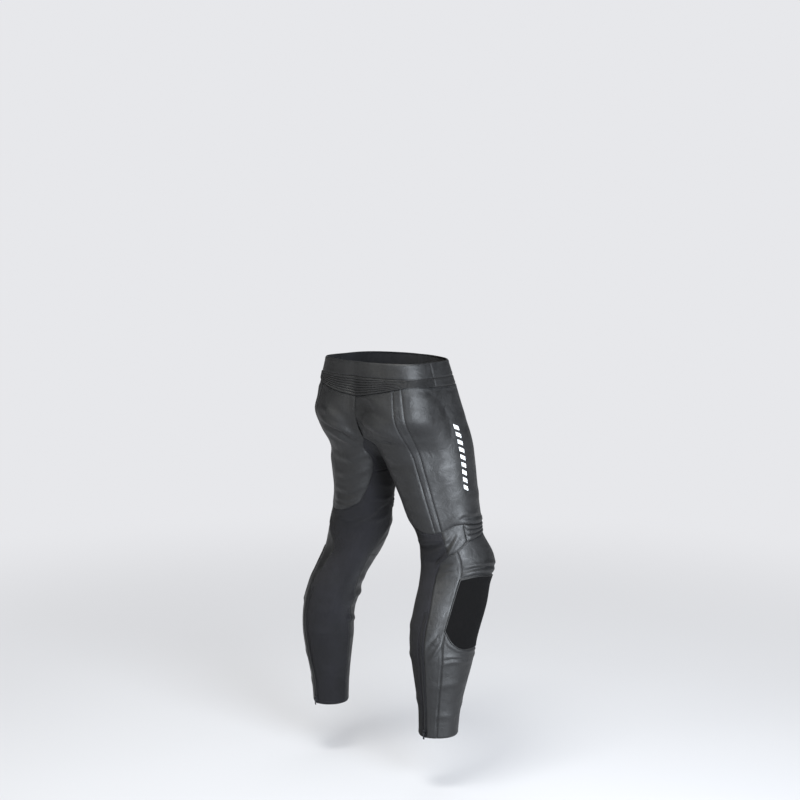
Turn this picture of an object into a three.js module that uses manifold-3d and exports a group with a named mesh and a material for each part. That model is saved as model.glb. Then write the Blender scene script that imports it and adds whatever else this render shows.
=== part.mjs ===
// Motorcycle trousers: worn, hollow, leather with stretch panels. Millimetres, +Z up, the wearer faces -Y,
// +X is the wearer's left. The origin is the centre of the waist opening.
import * as THREE from 'three';
import Module from 'manifold-3d';

const kernel = await Module();
kernel.setup();
const { Manifold } = kernel;

// ---------------------------------------------------------------- driving dimensions
const LEATHER = 1.4;            // cowhide panel
const STRETCH = 1.2;            // woven stretch panel
const BAND = 2.6;               // waistband, doubled leather
const LOOP = 2.0;               // loop fabric of the knee patch
const TAPE = 1.8;               // zip with its tape
const SEAM = 0.3;               // gap between two neighbouring pieces
const SAME_PLACE = 0.05;        // two points nearer than this are one
const RIB_HEIGHT = 2.6;         // how far an accordion rib stands out
const LUMBAR_RIBS = 6;
const KNEE_RIBS = 3;
const HEM = -925;               // bottom edge of both legs
const BAND_DEPTH = 38;
const RIGHT = -1;
const LEFT = 1;
const SIDES = [[RIGHT, 'r'], [LEFT, 'l']];

// Where each leg's middle runs, and how much higher the left leg's seams sit (its knee is straighter).
const PATH = {
  columns: ['height', 'rightOut', 'rightBack', 'leftOut', 'leftBack', 'leftLift'],
  rows: [
    [0, 74, 0, 74, 0, 0],
    [-60, 80, -3, 80, -2, 0],
    [-140, 88, -14, 88, -6, 0],
    [-190, 95, -28, 95, -12, 0],
    [-240, 103, -41, 104, -20, 0],
    [-300, 116, -51, 114, -30, 0],
    [-350, 128, -57, 122, -37, 10],
    [-430, 146, -70, 138, -41, 26],
    [-510, 170, -77, 160, -40, 20],
    [-560, 179, -55, 173, -16, 13],
    [-600, 185, -36, 182, 4, 8],
    [-680, 194, 1, 190, 24, 0],
    [-750, 195, 6, 191, 26, 0],
    [-860, 193, 14, 190, 22, 0],
    [HEM, 191, 16, 190, 20, 0],
  ],
};

// Half girths of one leg, measured from its middle in eight directions 45 degrees apart.
const GIRTH = {
  columns: ['height', 'front', 'frontOuter', 'outer', 'backOuter', 'back', 'backInner', 'inner', 'frontInner'],
  rows: [
    [0, 112, 97, 80, 102, 108, 146, 150, 150],
    [-60, 118, 110, 92, 112, 118, 142, 150, 146],
    [-100, 122, 116, 96, 116, 130, 142, 150, 146],
    [-140, 122, 121, 98, 121, 140, 140, 136, 145],
    [-180, 118, 122, 100, 98, 134, 134, 120, 136],
    [-215, 116, 120, 100, 83, 112, 122, 106, 120],
    [-240, 114, 116, 100, 83, 100, 116, 94, 110],
    [-265, 110, 112, 98, 85, 98, 112, 90, 102],
    [-300, 104, 106, 95, 81, 96, 106, 86, 90],
    [-350, 98, 98, 90, 76, 92, 98, 83, 82],
    [-400, 92, 91, 85, 76, 88, 93, 80, 79],
    [-430, 87, 84, 80, 76, 84, 84, 78, 82],
    [-460, 88, 86, 79, 78, 80, 84, 76, 82],
    [-510, 92, 92, 80, 76, 78, 92, 74, 76],
    [-560, 84, 88, 76, 72, 82, 88, 70, 72],
    [-600, 80, 89, 74, 70, 86, 89, 68, 69],
    [-640, 78, 87, 73, 70, 86, 87, 68, 69],
    [-690, 72, 82, 70, 67, 82, 82, 65, 66],
    [-740, 68, 76, 67, 66, 76, 76, 64, 66],
    [-800, 60, 64, 60, 58, 66, 64, 56, 58],
    [-860, 52, 54, 52, 50, 54, 52, 48, 50],
    [HEM, 48, 50, 48, 46, 50, 48, 46, 46],
  ],
};

// How softly the two legs run into each other where they meet.
const BLEND = {
  columns: ['height', 'softness'],
  rows: [[0, 4], [-60, 10], [-120, 30], [-190, 50], [-260, 46], [-330, 24], [-410, 8], [HEM, 8]],
};

// ---------------------------------------------------------------- the form of the worn trousers
function readTable(table, height) {
  const rows = table.rows;
  const z = Math.min(rows[0][0], Math.max(HEM, height));
  let i = 0;
  while (i < rows.length - 2 && z < rows[i + 1][0]) i += 1;
  const slope = (k, c) => {
    const a = rows[Math.max(k - 1, 0)];
    const b = rows[Math.min(k + 1, rows.length - 1)];
    return (b[c] - a[c]) / (b[0] - a[0]);
  };
  const span = rows[i + 1][0] - rows[i][0];
  const t = (z - rows[i][0]) / span;
  return rows[i].map((value, c) => (c === 0 ? z : value * (2 * t ** 3 - 3 * t ** 2 + 1)
    + slope(i, c) * span * (t ** 3 - 2 * t ** 2 + t)
    + rows[i + 1][c] * (3 * t ** 2 - 2 * t ** 3)
    + slope(i + 1, c) * span * (t ** 3 - t ** 2)));
}

function legMiddle(side, height) {
  const row = readTable(PATH, height);
  return side === RIGHT ? { x: -row[1], y: row[2] } : { x: row[3], y: row[4] };
}

const seamHeight = (side, level) => level + (side === LEFT ? readTable(PATH, level)[5] : 0);

function halfGirth(turn, height) {
  const row = readTable(GIRTH, height).slice(1);
  const step = (((turn % 360) + 360) % 360) / 45;
  const k = Math.floor(step);
  const t = step - k;
  const [a, b, c, d] = [7, 0, 1, 2].map((n) => row[(k + n) % 8]);
  return 0.5 * (2 * b + (c - a) * t + (2 * a - 5 * b + 4 * c - d) * t * t + (3 * b - a - 3 * c + d) * t ** 3);
}

function legDistance(side, p) {
  const middle = legMiddle(side, p.z);
  const out = (p.x - middle.x) * side;
  const back = p.y - middle.y;
  return Math.hypot(out, back) - halfGirth(THREE.MathUtils.radToDeg(Math.atan2(out, -back)), p.z);
}

function formDistance(p) {
  const a = legDistance(RIGHT, p);
  const b = legDistance(LEFT, p);
  const soft = readTable(BLEND, p.z)[1];
  const near = Math.max(soft - Math.abs(a - b), 0) / soft;
  return Math.min(a, b) - near * near * soft / 4;
}

function formNormal(p) {
  const d = 0.5;
  const slope = (x, y, z) => formDistance(new THREE.Vector3(p.x + x, p.y + y, p.z + z))
    - formDistance(new THREE.Vector3(p.x - x, p.y - y, p.z - z));
  return new THREE.Vector3(slope(d, 0, 0), slope(0, d, 0), slope(0, 0, d)).normalize();
}

// The point of the form where a level ray leaves a place in a given direction.
function rayToForm(from, direction, reach) {
  let low = 0;
  let high = reach;
  for (let i = 0; i < 40; i += 1) {
    const mid = (low + high) / 2;
    if (formDistance(from.clone().addScaledVector(direction, mid)) < 0) low = mid; else high = mid;
  }
  return from.clone().addScaledVector(direction, low);
}

// turn: 0 front, 90 outer, 180 back, 270 inner, seen from the leg's own middle
function legPoint(side, turn, level) {
  const height = seamHeight(side, level);
  const middle = legMiddle(side, height);
  const angle = THREE.MathUtils.degToRad(turn);
  const direction = new THREE.Vector3(side * Math.sin(angle), -Math.cos(angle), 0);
  return rayToForm(new THREE.Vector3(middle.x, middle.y, height), direction, 260);
}

// Turn of the centre line, front (-1) or back (+1), in the leg's own measure.
function centreTurn(side, level, way) {
  const height = seamHeight(side, level);
  const middle = legMiddle(side, height);
  const p = rayToForm(new THREE.Vector3(0, 0, height), new THREE.Vector3(0, way, 0), 260);
  const turn = THREE.MathUtils.radToDeg(Math.atan2(-middle.x * side, -(p.y - middle.y)));
  return way > 0 ? turn + 360 : turn;
}

// The first point of the form that a ray from outside it meets.
function rayFromOutside(from, direction) {
  const step = 1;
  let reach = 0;
  while (formDistance(from.clone().addScaledVector(direction, reach)) > 0 && reach < 260) reach += step;
  let low = reach - step;
  for (let i = 0; i < 20; i += 1) {
    const mid = (low + reach) / 2;
    if (formDistance(from.clone().addScaledVector(direction, mid)) > 0) low = mid; else reach = mid;
  }
  return from.clone().addScaledVector(direction, low);
}

// ---------------------------------------------------------------- seams, as lines of [turn, level]
const BACK_LINE = 'back line';
const FRONT_LINE = 'front line';

// Splits a line drawn through a few places into equal steps; lengths are judged on a leg of common girth.
function seam(places, steps) {
  const perDegree = 1.5;
  const curve = new THREE.CatmullRomCurve3(
    places.map(([turn, level]) => new THREE.Vector3(turn * perDegree, level, 0)), false, 'centripetal');
  return curve.getSpacedPoints(steps).map((p) => [p.x / perDegree, p.y]);
}

const join = (...lines) => lines.flatMap((line, i) => (i === 0 ? line : line.slice(1)));
const reversed = (line) => [...line].reverse();

function onCentre(side, line, from, to, steps) {
  const way = line === BACK_LINE ? 1 : -1;
  return Array.from({ length: steps + 1 }, (_, i) => {
    const level = from + (to - from) * i / steps;
    return [centreTurn(side, level, way), level];
  });
}

const STRIP_BACK = 160;
const STRIP_FRONT = 149;
const SIDE_SEAM = 96;           // end of the lumbar accordion
const YOKE_BACK = -86;
const YOKE_FRONT = -60;
const FORK_BACK = -195;         // top corner of the gusset on the back line
const FORK_FRONT = -190;
const GUSSET_MIDDLE = -226;
const GUSSET_SPREAD = 9;        // half width of the gusset there, degrees of the leg
const GUSSET_LEVEL = -290;
const KNEE_SEAM = -424;
const INNER_FRONT = -54;        // inner edge of the front thigh panel
const PATCH_FOOT = -700;        // lower edge of the knee patch
const ROWS = { upper: 4, fork: 4, thigh: 4, kneeCap: 4, patch: 5, shin: 11, zip: 12 };
const COLUMNS = { seat: 5, hip: 4, front: 8, knee: 10, inner: 4, patch: 6 };

function seamsOf(side) {
  const s = {};
  const backTurn = centreTurn(side, YOKE_BACK, 1);
  const frontTurn = centreTurn(side, YOKE_FRONT, -1);
  s.yokeSeat = seam([[backTurn, YOKE_BACK], [186, -75], [STRIP_BACK, -64]], COLUMNS.seat);
  s.yokeStrip = [[STRIP_BACK, -64], [STRIP_FRONT, -59]];
  s.yokeHip = seam([[STRIP_FRONT, -59], [140, -56], [110, -57], [SIDE_SEAM, -59]], COLUMNS.hip);
  s.yokeFront = seam([[SIDE_SEAM, -59], [40, YOKE_FRONT], [frontTurn, YOKE_FRONT]], COLUMNS.front);
  s.backLine = onCentre(side, BACK_LINE, YOKE_BACK, FORK_BACK, ROWS.upper);
  s.frontLine = onCentre(side, FRONT_LINE, YOKE_FRONT, FORK_FRONT, ROWS.upper);
  s.gussetBack = seam([s.backLine.at(-1), [centreTurn(side, GUSSET_MIDDLE, 1) - GUSSET_SPREAD, GUSSET_MIDDLE],
    [238, -258], [238, GUSSET_LEVEL]], ROWS.fork);
  s.gussetFront = seam([s.frontLine.at(-1), [centreTurn(side, GUSSET_MIDDLE, -1) + GUSSET_SPREAD, GUSSET_MIDDLE],
    [INNER_FRONT, -258], [INNER_FRONT, GUSSET_LEVEL]], ROWS.fork);
  s.seatInner = seam([[238, GUSSET_LEVEL], [235, -315], [229, -350], [220, -393]], ROWS.thigh);
  s.thighInner = seam([[INNER_FRONT, GUSSET_LEVEL], [INNER_FRONT + 2, -340], [INNER_FRONT, -408]], ROWS.thigh);
  s.seatBottom = seam([[STRIP_BACK, KNEE_SEAM], [176, -426], [200, -418], [220, -393]], COLUMNS.seat);
  s.stripBottom = [[STRIP_FRONT, -420], [STRIP_BACK, KNEE_SEAM]];
  const rowsDown = ROWS.upper + ROWS.fork + ROWS.thigh;
  s.stripBackEdge = seam([[STRIP_BACK, -64], [STRIP_BACK, KNEE_SEAM]], rowsDown);
  s.stripFrontEdge = seam([[STRIP_FRONT, -59], [STRIP_FRONT, -420]], rowsDown);
  s.wedgeTop = seam([[STRIP_FRONT, -420], [124, -406], [104, -402]], 2);
  s.kneeTop = seam([[104, -402], [56, -408], [0, -408], [INNER_FRONT, -408]], COLUMNS.knee);
  s.kneeBottom = seam([[104, -444], [56, -434], [0, -432], [INNER_FRONT, -434]], COLUMNS.knee);
  s.kneeOuter = seam([[104, -402], [104, -444]], 2 * KNEE_RIBS);
  s.kneeInner = seam([[INNER_FRONT, -408], [INNER_FRONT, -434]], 2 * KNEE_RIBS);
  s.capShoulder = [[131, -467], [104, -444]];
  s.wedgeBack = seam([[STRIP_FRONT, -420], [150, -480]], KNEE_RIBS);
  s.wedgeFoot = [[150, -480], [131, -467]];
  s.calfTop = seam([[180, -528], [171, -502], [150, -480]], 2);
  s.capOuter = seam([[131, -467], [130, -490], [131, -531]], ROWS.kneeCap);
  s.capInner = seam([[INNER_FRONT, -434], [-64, -476], [-90, -516], [-100, -538]], ROWS.kneeCap);
  s.capBottom = seam([[131, -531], [97, -526], [60, -532], [0, -545], [-60, -546], [-100, -538]],
    COLUMNS.knee + 1);
  s.shinOuter = join(seam([[131, -531], [138, -652], [138, PATCH_FOOT]], ROWS.patch),
    seam([[138, PATCH_FOOT], [140, -800], [142, HEM]], ROWS.shin - ROWS.patch));
  s.shinInner = join(seam([[-100, -538], [-91, -589], [-83, -628], [-76, PATCH_FOOT]], ROWS.patch),
    seam([[-76, PATCH_FOOT], [-76, -740], [-76, HEM]], ROWS.shin - ROWS.patch));
  s.hemShin = seam([[142, HEM], [-76, HEM]], COLUMNS.knee + 1);
  s.calfBack = seam([[180, -528], [178, -560], [174, -611]], 3);
  s.zipTop = [[174, -611], [183, -611]];
  s.zipOuter = seam([[174, -611], [173, -739], [173, HEM]], ROWS.zip);
  s.zipInner = seam([[183, -611], [183, -739], [183, HEM]], ROWS.zip);
  s.hemCalf = seam([[173, HEM], [142, HEM]], 3);
  s.hemZip = [[173, HEM], [183, HEM]];
  s.innerTop = seam([[238, GUSSET_LEVEL], [360 + INNER_FRONT, GUSSET_LEVEL]], COLUMNS.inner);
  s.innerMiddle = seam([[220, -393], [360 + INNER_FRONT, -408]], COLUMNS.inner);
  s.hemInner = seam([[183, HEM], [284, HEM]], 1 + COLUMNS.seat + COLUMNS.inner);
  return s;
}

// ---------------------------------------------------------------- sheets
// Fills the field between four seams that share their corners, all given as [turn, level].
function field(top, bottom, start, end) {
  const m = top.length - 1;
  const n = start.length - 1;
  return start.map((_, i) => top.map((__, j) => {
    const u = j / m;
    const v = i / n;
    return [0, 1].map((k) => (1 - v) * top[j][k] + v * bottom[j][k] + (1 - u) * start[i][k] + u * end[i][k]
      - (1 - u) * (1 - v) * top[0][k] - u * (1 - v) * top[m][k] - (1 - u) * v * bottom[0][k]
      - u * v * bottom[m][k]);
  }));
}

const laid = (side, rows) => rows.map((row) => row.map(([turn, level]) => {
  const point = legPoint(side, turn, level);
  return { point, normal: formNormal(point) };
}));

const unturned = (line) => line.map(([turn, level]) => [turn > 180 ? turn - 360 : turn, level]);
const turned = (line) => line.map(([turn, level]) => [turn < 0 ? turn + 360 : turn, level]);

// Closed cloth from one or more fields of points: outer face, inner face and the edge all round.
// rise lifts the outer side of a point off the form, the wall goes inward from there.
function cloth(fields, wall, { base = 0, rise = () => 0, gap = SEAM / 2, skip = () => false } = {}) {
  const points = [];
  const faces = [];
  fields.forEach((rows) => {
    const n = rows.length - 1;
    const m = rows[0].length - 1;
    const ids = rows.map((row, i) => row.map(({ point, normal }, j) => {
      const known = points.findIndex((other) => other.point.distanceTo(point) < SAME_PLACE);
      if (known >= 0) return known;
      return points.push({ point, normal, rise: rise(i / n, j / m) }) - 1;
    }));
    const fresh = [];
    for (let i = 0; i < n; i += 1) {
      for (let j = 0; j < m; j += 1) {
        const [a, b, c, d] = [ids[i][j], ids[i][j + 1], ids[i + 1][j + 1], ids[i + 1][j]];
        if (!skip(i, j, 0)) fresh.push([a, b, c]);
        if (!skip(i, j, 1)) fresh.push([a, c, d]);
      }
    }
    const facing = fresh.reduce((sum, [a, b, c]) => sum + points[b].point.clone().sub(points[a].point)
      .cross(points[c].point.clone().sub(points[a].point)).dot(points[a].normal), 0);
    if (facing < 0) fresh.forEach((face) => face.reverse());
    faces.push(...fresh);
  });
  const edges = new Map();
  faces.forEach(([a, b, c]) => [[a, b, c], [b, c, a], [c, a, b]].forEach(([s, e, third]) => {
    if (edges.has(`${e} ${s}`)) edges.delete(`${e} ${s}`); else edges.set(`${s} ${e}`, [s, e, third]);
  }));
  const inward = points.map(() => []);
  edges.forEach(([s, e, third]) => {
    const along = points[e].point.clone().sub(points[s].point).normalize();
    const across = points[third].point.clone().sub(points[s].point);
    across.addScaledVector(along, -across.dot(along)).normalize();
    inward[s].push(across);
    inward[e].push(across);
  });
  const outer = points.map(({ point, normal, rise: up }, i) => {
    const moved = point.clone().addScaledVector(normal, base + up);
    if (inward[i].length >= 2) {
      const sum = inward[i][0].clone().add(inward[i][1]);
      const reach = sum.lengthSq() / 2;
      moved.addScaledVector(sum, gap / Math.max(reach, 0.4));
    }
    return moved;
  });
  const inner = outer.map((p, i) => p.clone().addScaledVector(points[i].normal, -wall));
  const count = points.length;
  const triangles = [];
  faces.forEach(([a, b, c]) => triangles.push([a, b, c], [a + count, c + count, b + count]));
  edges.forEach(([s, e]) => triangles.push([s, s + count, e + count], [s, e + count, e]));
  const geometry = new THREE.BufferGeometry();
  geometry.setAttribute('position',
    new THREE.Float32BufferAttribute([...outer, ...inner].flatMap((p) => p.toArray()), 3));
  geometry.setIndex(triangles.flat());
  return geometry;
}

const MATERIAL = {
  leather: { color: 0x26262a, roughness: 0.48, metalness: 0 },
  stretch: { color: 0x1c1b1f, roughness: 0.85, metalness: 0 },
  loop: { color: 0x141214, roughness: 0.95, metalness: 0 },
  metal: { color: 0x55565a, roughness: 0.35, metalness: 1 },
  print: { color: 0xf2f2f2, roughness: 0.6, metalness: 0 },
};

const group = new THREE.Group();
group.name = 'motorcycle_trousers';

function add(name, geometry, kind) {
  const mesh = new THREE.Mesh(geometry, new THREE.MeshStandardMaterial(MATERIAL[kind]));
  mesh.name = name;
  group.add(mesh);
  return mesh;
}

const ribs = (count) => (v) => (Math.round(v * 2 * count) % 2 === 1 ? RIB_HEIGHT : 0);
const part = (rows, rowFrom, rowTo, from, to) => rows.slice(rowFrom, rowTo + 1).map((row) => row.slice(from, to + 1));

function onSide(turn, from, to, steps) {
  return Array.from({ length: steps + 1 }, (_, i) => [turn, from + (to - from) * i / steps]);
}

// ---------------------------------------------------------------- one leg
const panels = {};
for (const [side, mark] of SIDES) {
  const s = seamsOf(side);
  const lay = (top, bottom, start, end) => laid(side, field(top, bottom, start, end));
  const p = {};
  p.seat = lay(s.yokeSeat, reversed(s.seatBottom), join(s.backLine, s.gussetBack, s.seatInner), s.stripBackEdge);
  p.strip = lay(s.yokeStrip, reversed(s.stripBottom), s.stripBackEdge, s.stripFrontEdge);
  p.thigh = lay(join(s.yokeHip, s.yokeFront), join(s.wedgeTop, s.kneeTop), s.stripFrontEdge,
    join(s.frontLine, s.gussetFront, s.thighInner));
  p.kneeRibs = lay(s.kneeTop, s.kneeBottom, s.kneeOuter, s.kneeInner);
  p.wedge = lay(s.wedgeTop, join(s.wedgeFoot, s.capShoulder), s.wedgeBack,
    s.kneeOuter.filter((_, i) => i % 2 === 0));
  p.cap = lay(join(s.capShoulder, s.kneeBottom), s.capBottom, s.capOuter, s.capInner);
  p.shin = lay(s.capBottom, s.hemShin, s.shinOuter, s.shinInner);
  p.calf = lay(join(s.calfTop, s.wedgeFoot), s.hemCalf, join(s.calfBack, s.zipOuter), join(s.capOuter, s.shinOuter));
  p.innerUpper = lay(s.innerTop, s.innerMiddle, s.seatInner, turned(s.thighInner));
  p.innerLower = lay(join(s.stripBottom, s.seatBottom, s.innerMiddle), s.hemInner,
    join(s.wedgeBack, reversed(s.calfTop), s.calfBack, s.zipTop, s.zipInner),
    turned(join(s.kneeInner, s.capInner, s.shinInner)));
  p.zip = lay(s.zipTop, s.hemZip, s.zipOuter, s.zipInner);
  const frontWaist = centreTurn(side, 0, -1);
  const sideWaist = seam([[SIDE_SEAM, 0], [frontWaist, 0]], COLUMNS.front);
  const sideFoot = seam([[SIDE_SEAM, -BAND_DEPTH], [centreTurn(side, -BAND_DEPTH, -1), -BAND_DEPTH]],
    COLUMNS.front);
  p.bandFront = lay(sideWaist, sideFoot, onSide(SIDE_SEAM, 0, -BAND_DEPTH, 2),
    onCentre(side, FRONT_LINE, 0, -BAND_DEPTH, 2));
  p.yokeFront = lay(sideFoot, s.yokeFront, onSide(SIDE_SEAM, -BAND_DEPTH, -59, 1),
    onCentre(side, FRONT_LINE, -BAND_DEPTH, YOKE_FRONT, 1));
  const backColumns = COLUMNS.seat + 1 + COLUMNS.hip;
  const backWaist = seam([[centreTurn(side, 0, 1), 0], [SIDE_SEAM, 0]], backColumns);
  const backFoot = seam([[centreTurn(side, -BAND_DEPTH, 1), -BAND_DEPTH], [SIDE_SEAM, -BAND_DEPTH]], backColumns);
  p.bandBack = lay(backWaist, backFoot, onCentre(side, BACK_LINE, 0, -BAND_DEPTH, 2),
    onSide(SIDE_SEAM, 0, -BAND_DEPTH, 2));
  p.lumbar = lay(backFoot, join(s.yokeSeat, s.yokeStrip, s.yokeHip),
    onCentre(side, BACK_LINE, -BAND_DEPTH, YOKE_BACK, 2 * LUMBAR_RIBS),
    onSide(SIDE_SEAM, -BAND_DEPTH, -59, 2 * LUMBAR_RIBS));
  p.seams = s;
  panels[mark] = p;

  add(`seat_${mark}`, cloth([p.seat], LEATHER), 'leather');
  add(`side_strip_${mark}`, cloth([p.strip], LEATHER), 'leather');
  add(`thigh_front_${mark}`, cloth([p.thigh], LEATHER), 'leather');
  add(`knee_accordion_${mark}`, cloth([p.kneeRibs], LEATHER, { rise: ribs(KNEE_RIBS) }), 'leather');
  add(`knee_wedge_${mark}`, cloth([p.wedge], LEATHER), 'leather');
  add(`knee_cap_${mark}`, cloth([p.cap], LEATHER), 'leather');
  add(`shin_${mark}`, cloth([p.shin], LEATHER), 'leather');
  add(`calf_outer_${mark}`, cloth([p.calf], LEATHER), 'leather');
  add(`inner_stretch_${mark}`, cloth([p.innerUpper, p.innerLower], STRETCH), 'stretch');
  add(`calf_zip_${mark}`, cloth([p.zip], TAPE), 'stretch');
  add(`waistband_front_${mark}`, cloth([p.bandFront], BAND), 'leather');
  add(`yoke_front_${mark}`, cloth([p.yokeFront], LEATHER), 'leather');
}

// ---------------------------------------------------------------- pieces that cross the centre line
const { r, l } = panels;
const across = (rightRows, leftRows) => rightRows.map((row, i) => [...reversed(row), ...leftRows[i].slice(1)]);

add('waistband_back', cloth([across(r.bandBack, l.bandBack)], BAND), 'leather');
add('lumbar_accordion', cloth([across(r.lumbar, l.lumbar)], LEATHER, { rise: ribs(LUMBAR_RIBS) }), 'leather');

// The gusset is found with rays that fan out upward from the space between the thighs.
const forkRows = [ROWS.upper, ROWS.upper + ROWS.fork];
const edgeOf = (rows, column) => part(rows, ...forkRows, 0, rows[0].length - 1).map((row) => row.at(column));
const gussetEdges = {
  back: join(reversed(edgeOf(r.seat, 0)), edgeOf(l.seat, 0)),
  front: join(reversed(edgeOf(r.thigh, -1)), edgeOf(l.thigh, -1)),
  right: r.innerUpper[0],
  left: l.innerUpper[0],
};

function gussetPoint(i, j, rows, columns) {
  const edge = gussetEdges;
  if (i === 0) return edge.back[j];
  if (i === rows) return edge.front[j];
  if (j === 0) return edge.right[i];
  if (j === columns) return edge.left[i];
  const between = (k) => edge.right[k].point.clone().add(edge.left[k].point).divideScalar(2);
  const middle = between(i);
  const leanTo = (tip, k) => {
    const rise = tip.point.clone().sub(between(k));
    return Math.atan2(rise.y, rise.z);
  };
  const lean = THREE.MathUtils.lerp(leanTo(edge.back[columns / 2], 0), leanTo(edge.front[columns / 2], rows),
    i / rows);
  const fan = Math.PI * (j / columns - 0.5);
  const aside = (j < columns / 2 ? edge.right : edge.left)[i].point.clone().sub(middle).normalize();
  const direction = new THREE.Vector3(0, Math.sin(lean), Math.cos(lean)).multiplyScalar(Math.cos(fan))
    .addScaledVector(aside, Math.abs(Math.sin(fan))).normalize();
  const point = rayFromOutside(middle, direction);
  return { point, normal: formNormal(point) };
}

const gusset = Array.from({ length: COLUMNS.inner + 1 }, (_, i) => Array.from({ length: 2 * ROWS.fork + 1 },
  (__, j) => gussetPoint(i, j, COLUMNS.inner, 2 * ROWS.fork)));
add('crotch_gusset', cloth([gusset], STRETCH, { gap: SEAM }), 'stretch');

// ---------------------------------------------------------------- zip slider and its hinged pull tab
const SLIDER = { width: 9, length: 13, plate: 2.4, cheek: 1, axle: 4.4, pin: 0.8 };
const PULL = { width: 4.4, eye: 1.7, hole: 1.15, thickness: 1.2, length: 16 };
const SIDE_PLAY = 0.35;
const ROUND = 24;

function fromManifold(solid) {
  const { vertProperties, triVerts, numProp } = solid.getMesh();
  const geometry = new THREE.BufferGeometry();
  const places = Array.from({ length: vertProperties.length / numProp },
    (_, i) => [...vertProperties.slice(i * numProp, i * numProp + 3)]).flat();
  geometry.setAttribute('position', new THREE.Float32BufferAttribute(places, 3));
  geometry.setIndex([...triVerts]);
  return geometry;
}

// The frame of one facet of cloth: x across it, y up along it, z out of it.
function facetFrame(rows, row, column) {
  const corners = [rows[row][column], rows[row][column + 1], rows[row + 1][column], rows[row + 1][column + 1]]
    .map((corner) => corner.point);
  const centre = corners.reduce((sum, p) => sum.add(p), new THREE.Vector3()).divideScalar(4);
  const up = corners[0].clone().add(corners[1]).sub(corners[2]).sub(corners[3]).normalize();
  const out = rows[row][column].normal.clone();
  const acrossFacet = up.clone().cross(out).normalize();
  out.crossVectors(acrossFacet, up).normalize();
  return new THREE.Matrix4().makeBasis(acrossFacet, up, out).setPosition(centre.addScaledVector(out, 2 * SEAM));
}

const rod = (length, radius) => Manifold.cylinder(length, radius, radius, ROUND, true).rotate([0, 90, 0]);

function addZipPull(mark, zip) {
  const frame = facetFrame(zip, zip.length - 2, 0);
  const cheekAt = PULL.width / 2 + SIDE_PLAY + SLIDER.cheek / 2;
  const cheek = (way) => Manifold.cube([SLIDER.cheek, 5, SLIDER.axle + 1.4], true)
    .translate([way * cheekAt, 0, (SLIDER.axle + 1.4) / 2]);
  const slider = Manifold.union([
    Manifold.cube([SLIDER.width, SLIDER.length, SLIDER.plate], true).translate([0, 0, SLIDER.plate / 2]),
    cheek(1), cheek(-1), rod(2 * cheekAt, SLIDER.pin).translate([0, 0, SLIDER.axle]),
  ]);
  const tail = Manifold.cube([PULL.width, PULL.length, PULL.thickness], true)
    .translate([0, -PULL.length / 2, 0]);
  const tab = Manifold.union([rod(PULL.width, PULL.eye), tail]).subtract(rod(PULL.width + 1, PULL.hole))
    .translate([0, 0, SLIDER.axle]);
  for (const [name, solid] of [[`zip_slider_${mark}`, slider], [`zip_pull_${mark}`, tab]]) {
    add(name, fromManifold(solid).applyMatrix4(frame), 'metal');
  }
}

// ---------------------------------------------------------------- pieces laid on a panel
const MARK_WIDTH = 7;           // degrees of the leg
const MARK_THICKNESS = 0.4;
const SNAP = { radius: 7, height: 2.5 };
for (const [side, mark] of SIDES) {
  const { shin, zip } = panels[mark];
  add(`knee_slider_patch_${mark}`, cloth([part(shin, 0, ROWS.patch, 0, COLUMNS.patch)], LOOP,
    { base: SEAM + LOOP, gap: 3, skip: (i, j, k) => i === ROWS.patch - 1 && j === 0 && k === 1 }), 'loop');
  addZipPull(mark, zip);
  if (side === LEFT) continue;
  const markMiddle = [[75, -153], [81, -240], [87, -325]];
  const sideOf = (way) => seam(markMiddle.map(([turn, height]) => [turn + way * MARK_WIDTH / 2, height]), 12);
  add('thigh_mark', cloth([laid(side, field([sideOf(1)[0], sideOf(-1)[0]], [sideOf(1).at(-1), sideOf(-1).at(-1)],
    sideOf(1), sideOf(-1)))], MARK_THICKNESS, { base: MARK_THICKNESS + SEAM }), 'print');
}

add('fly_placket', cloth([part(l.thigh, 0, ROWS.upper, -2, l.thigh[0].length)], LEATHER,
  { base: SEAM + LEATHER, gap: 2 }), 'leather');
const tabFields = [part(l.bandFront, 0, 2, -3, l.bandFront[0].length),
  part(r.bandFront, 0, 2, -2, r.bandFront[0].length)];
const TAB_PLAY = 0.8;           // the tab's inset edge passes over the band's corners
add('waist_tab', cloth(tabFields, LEATHER, { base: TAB_PLAY + LEATHER, gap: 5 }), 'leather');
const tabFace = TAB_PLAY + LEATHER + SEAM;
add('waist_snap', fromManifold(Manifold.cylinder(SNAP.height, SNAP.radius, SNAP.radius - 1, ROUND)
  .translate([0, 0, tabFace])).applyMatrix4(facetFrame(tabFields[0], 0, 0)), 'metal');
group.updateMatrixWorld(true);

export default group;
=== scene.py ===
# %% [markdown]
# # Black leather racing trousers, worn by nobody
# Racing trousers are cut from cowhide where a slide would wear them through, and from stretch cloth where
# the rider bends. They could be carved as one lump, but a sewer works panel by panel, so this lesson does too:
# every panel is laid on one hollow form and meets its neighbours at shared seams.

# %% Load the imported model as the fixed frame
import math
import bpy
import numpy as np
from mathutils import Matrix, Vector
from mathutils.kdtree import KDTree


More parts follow.
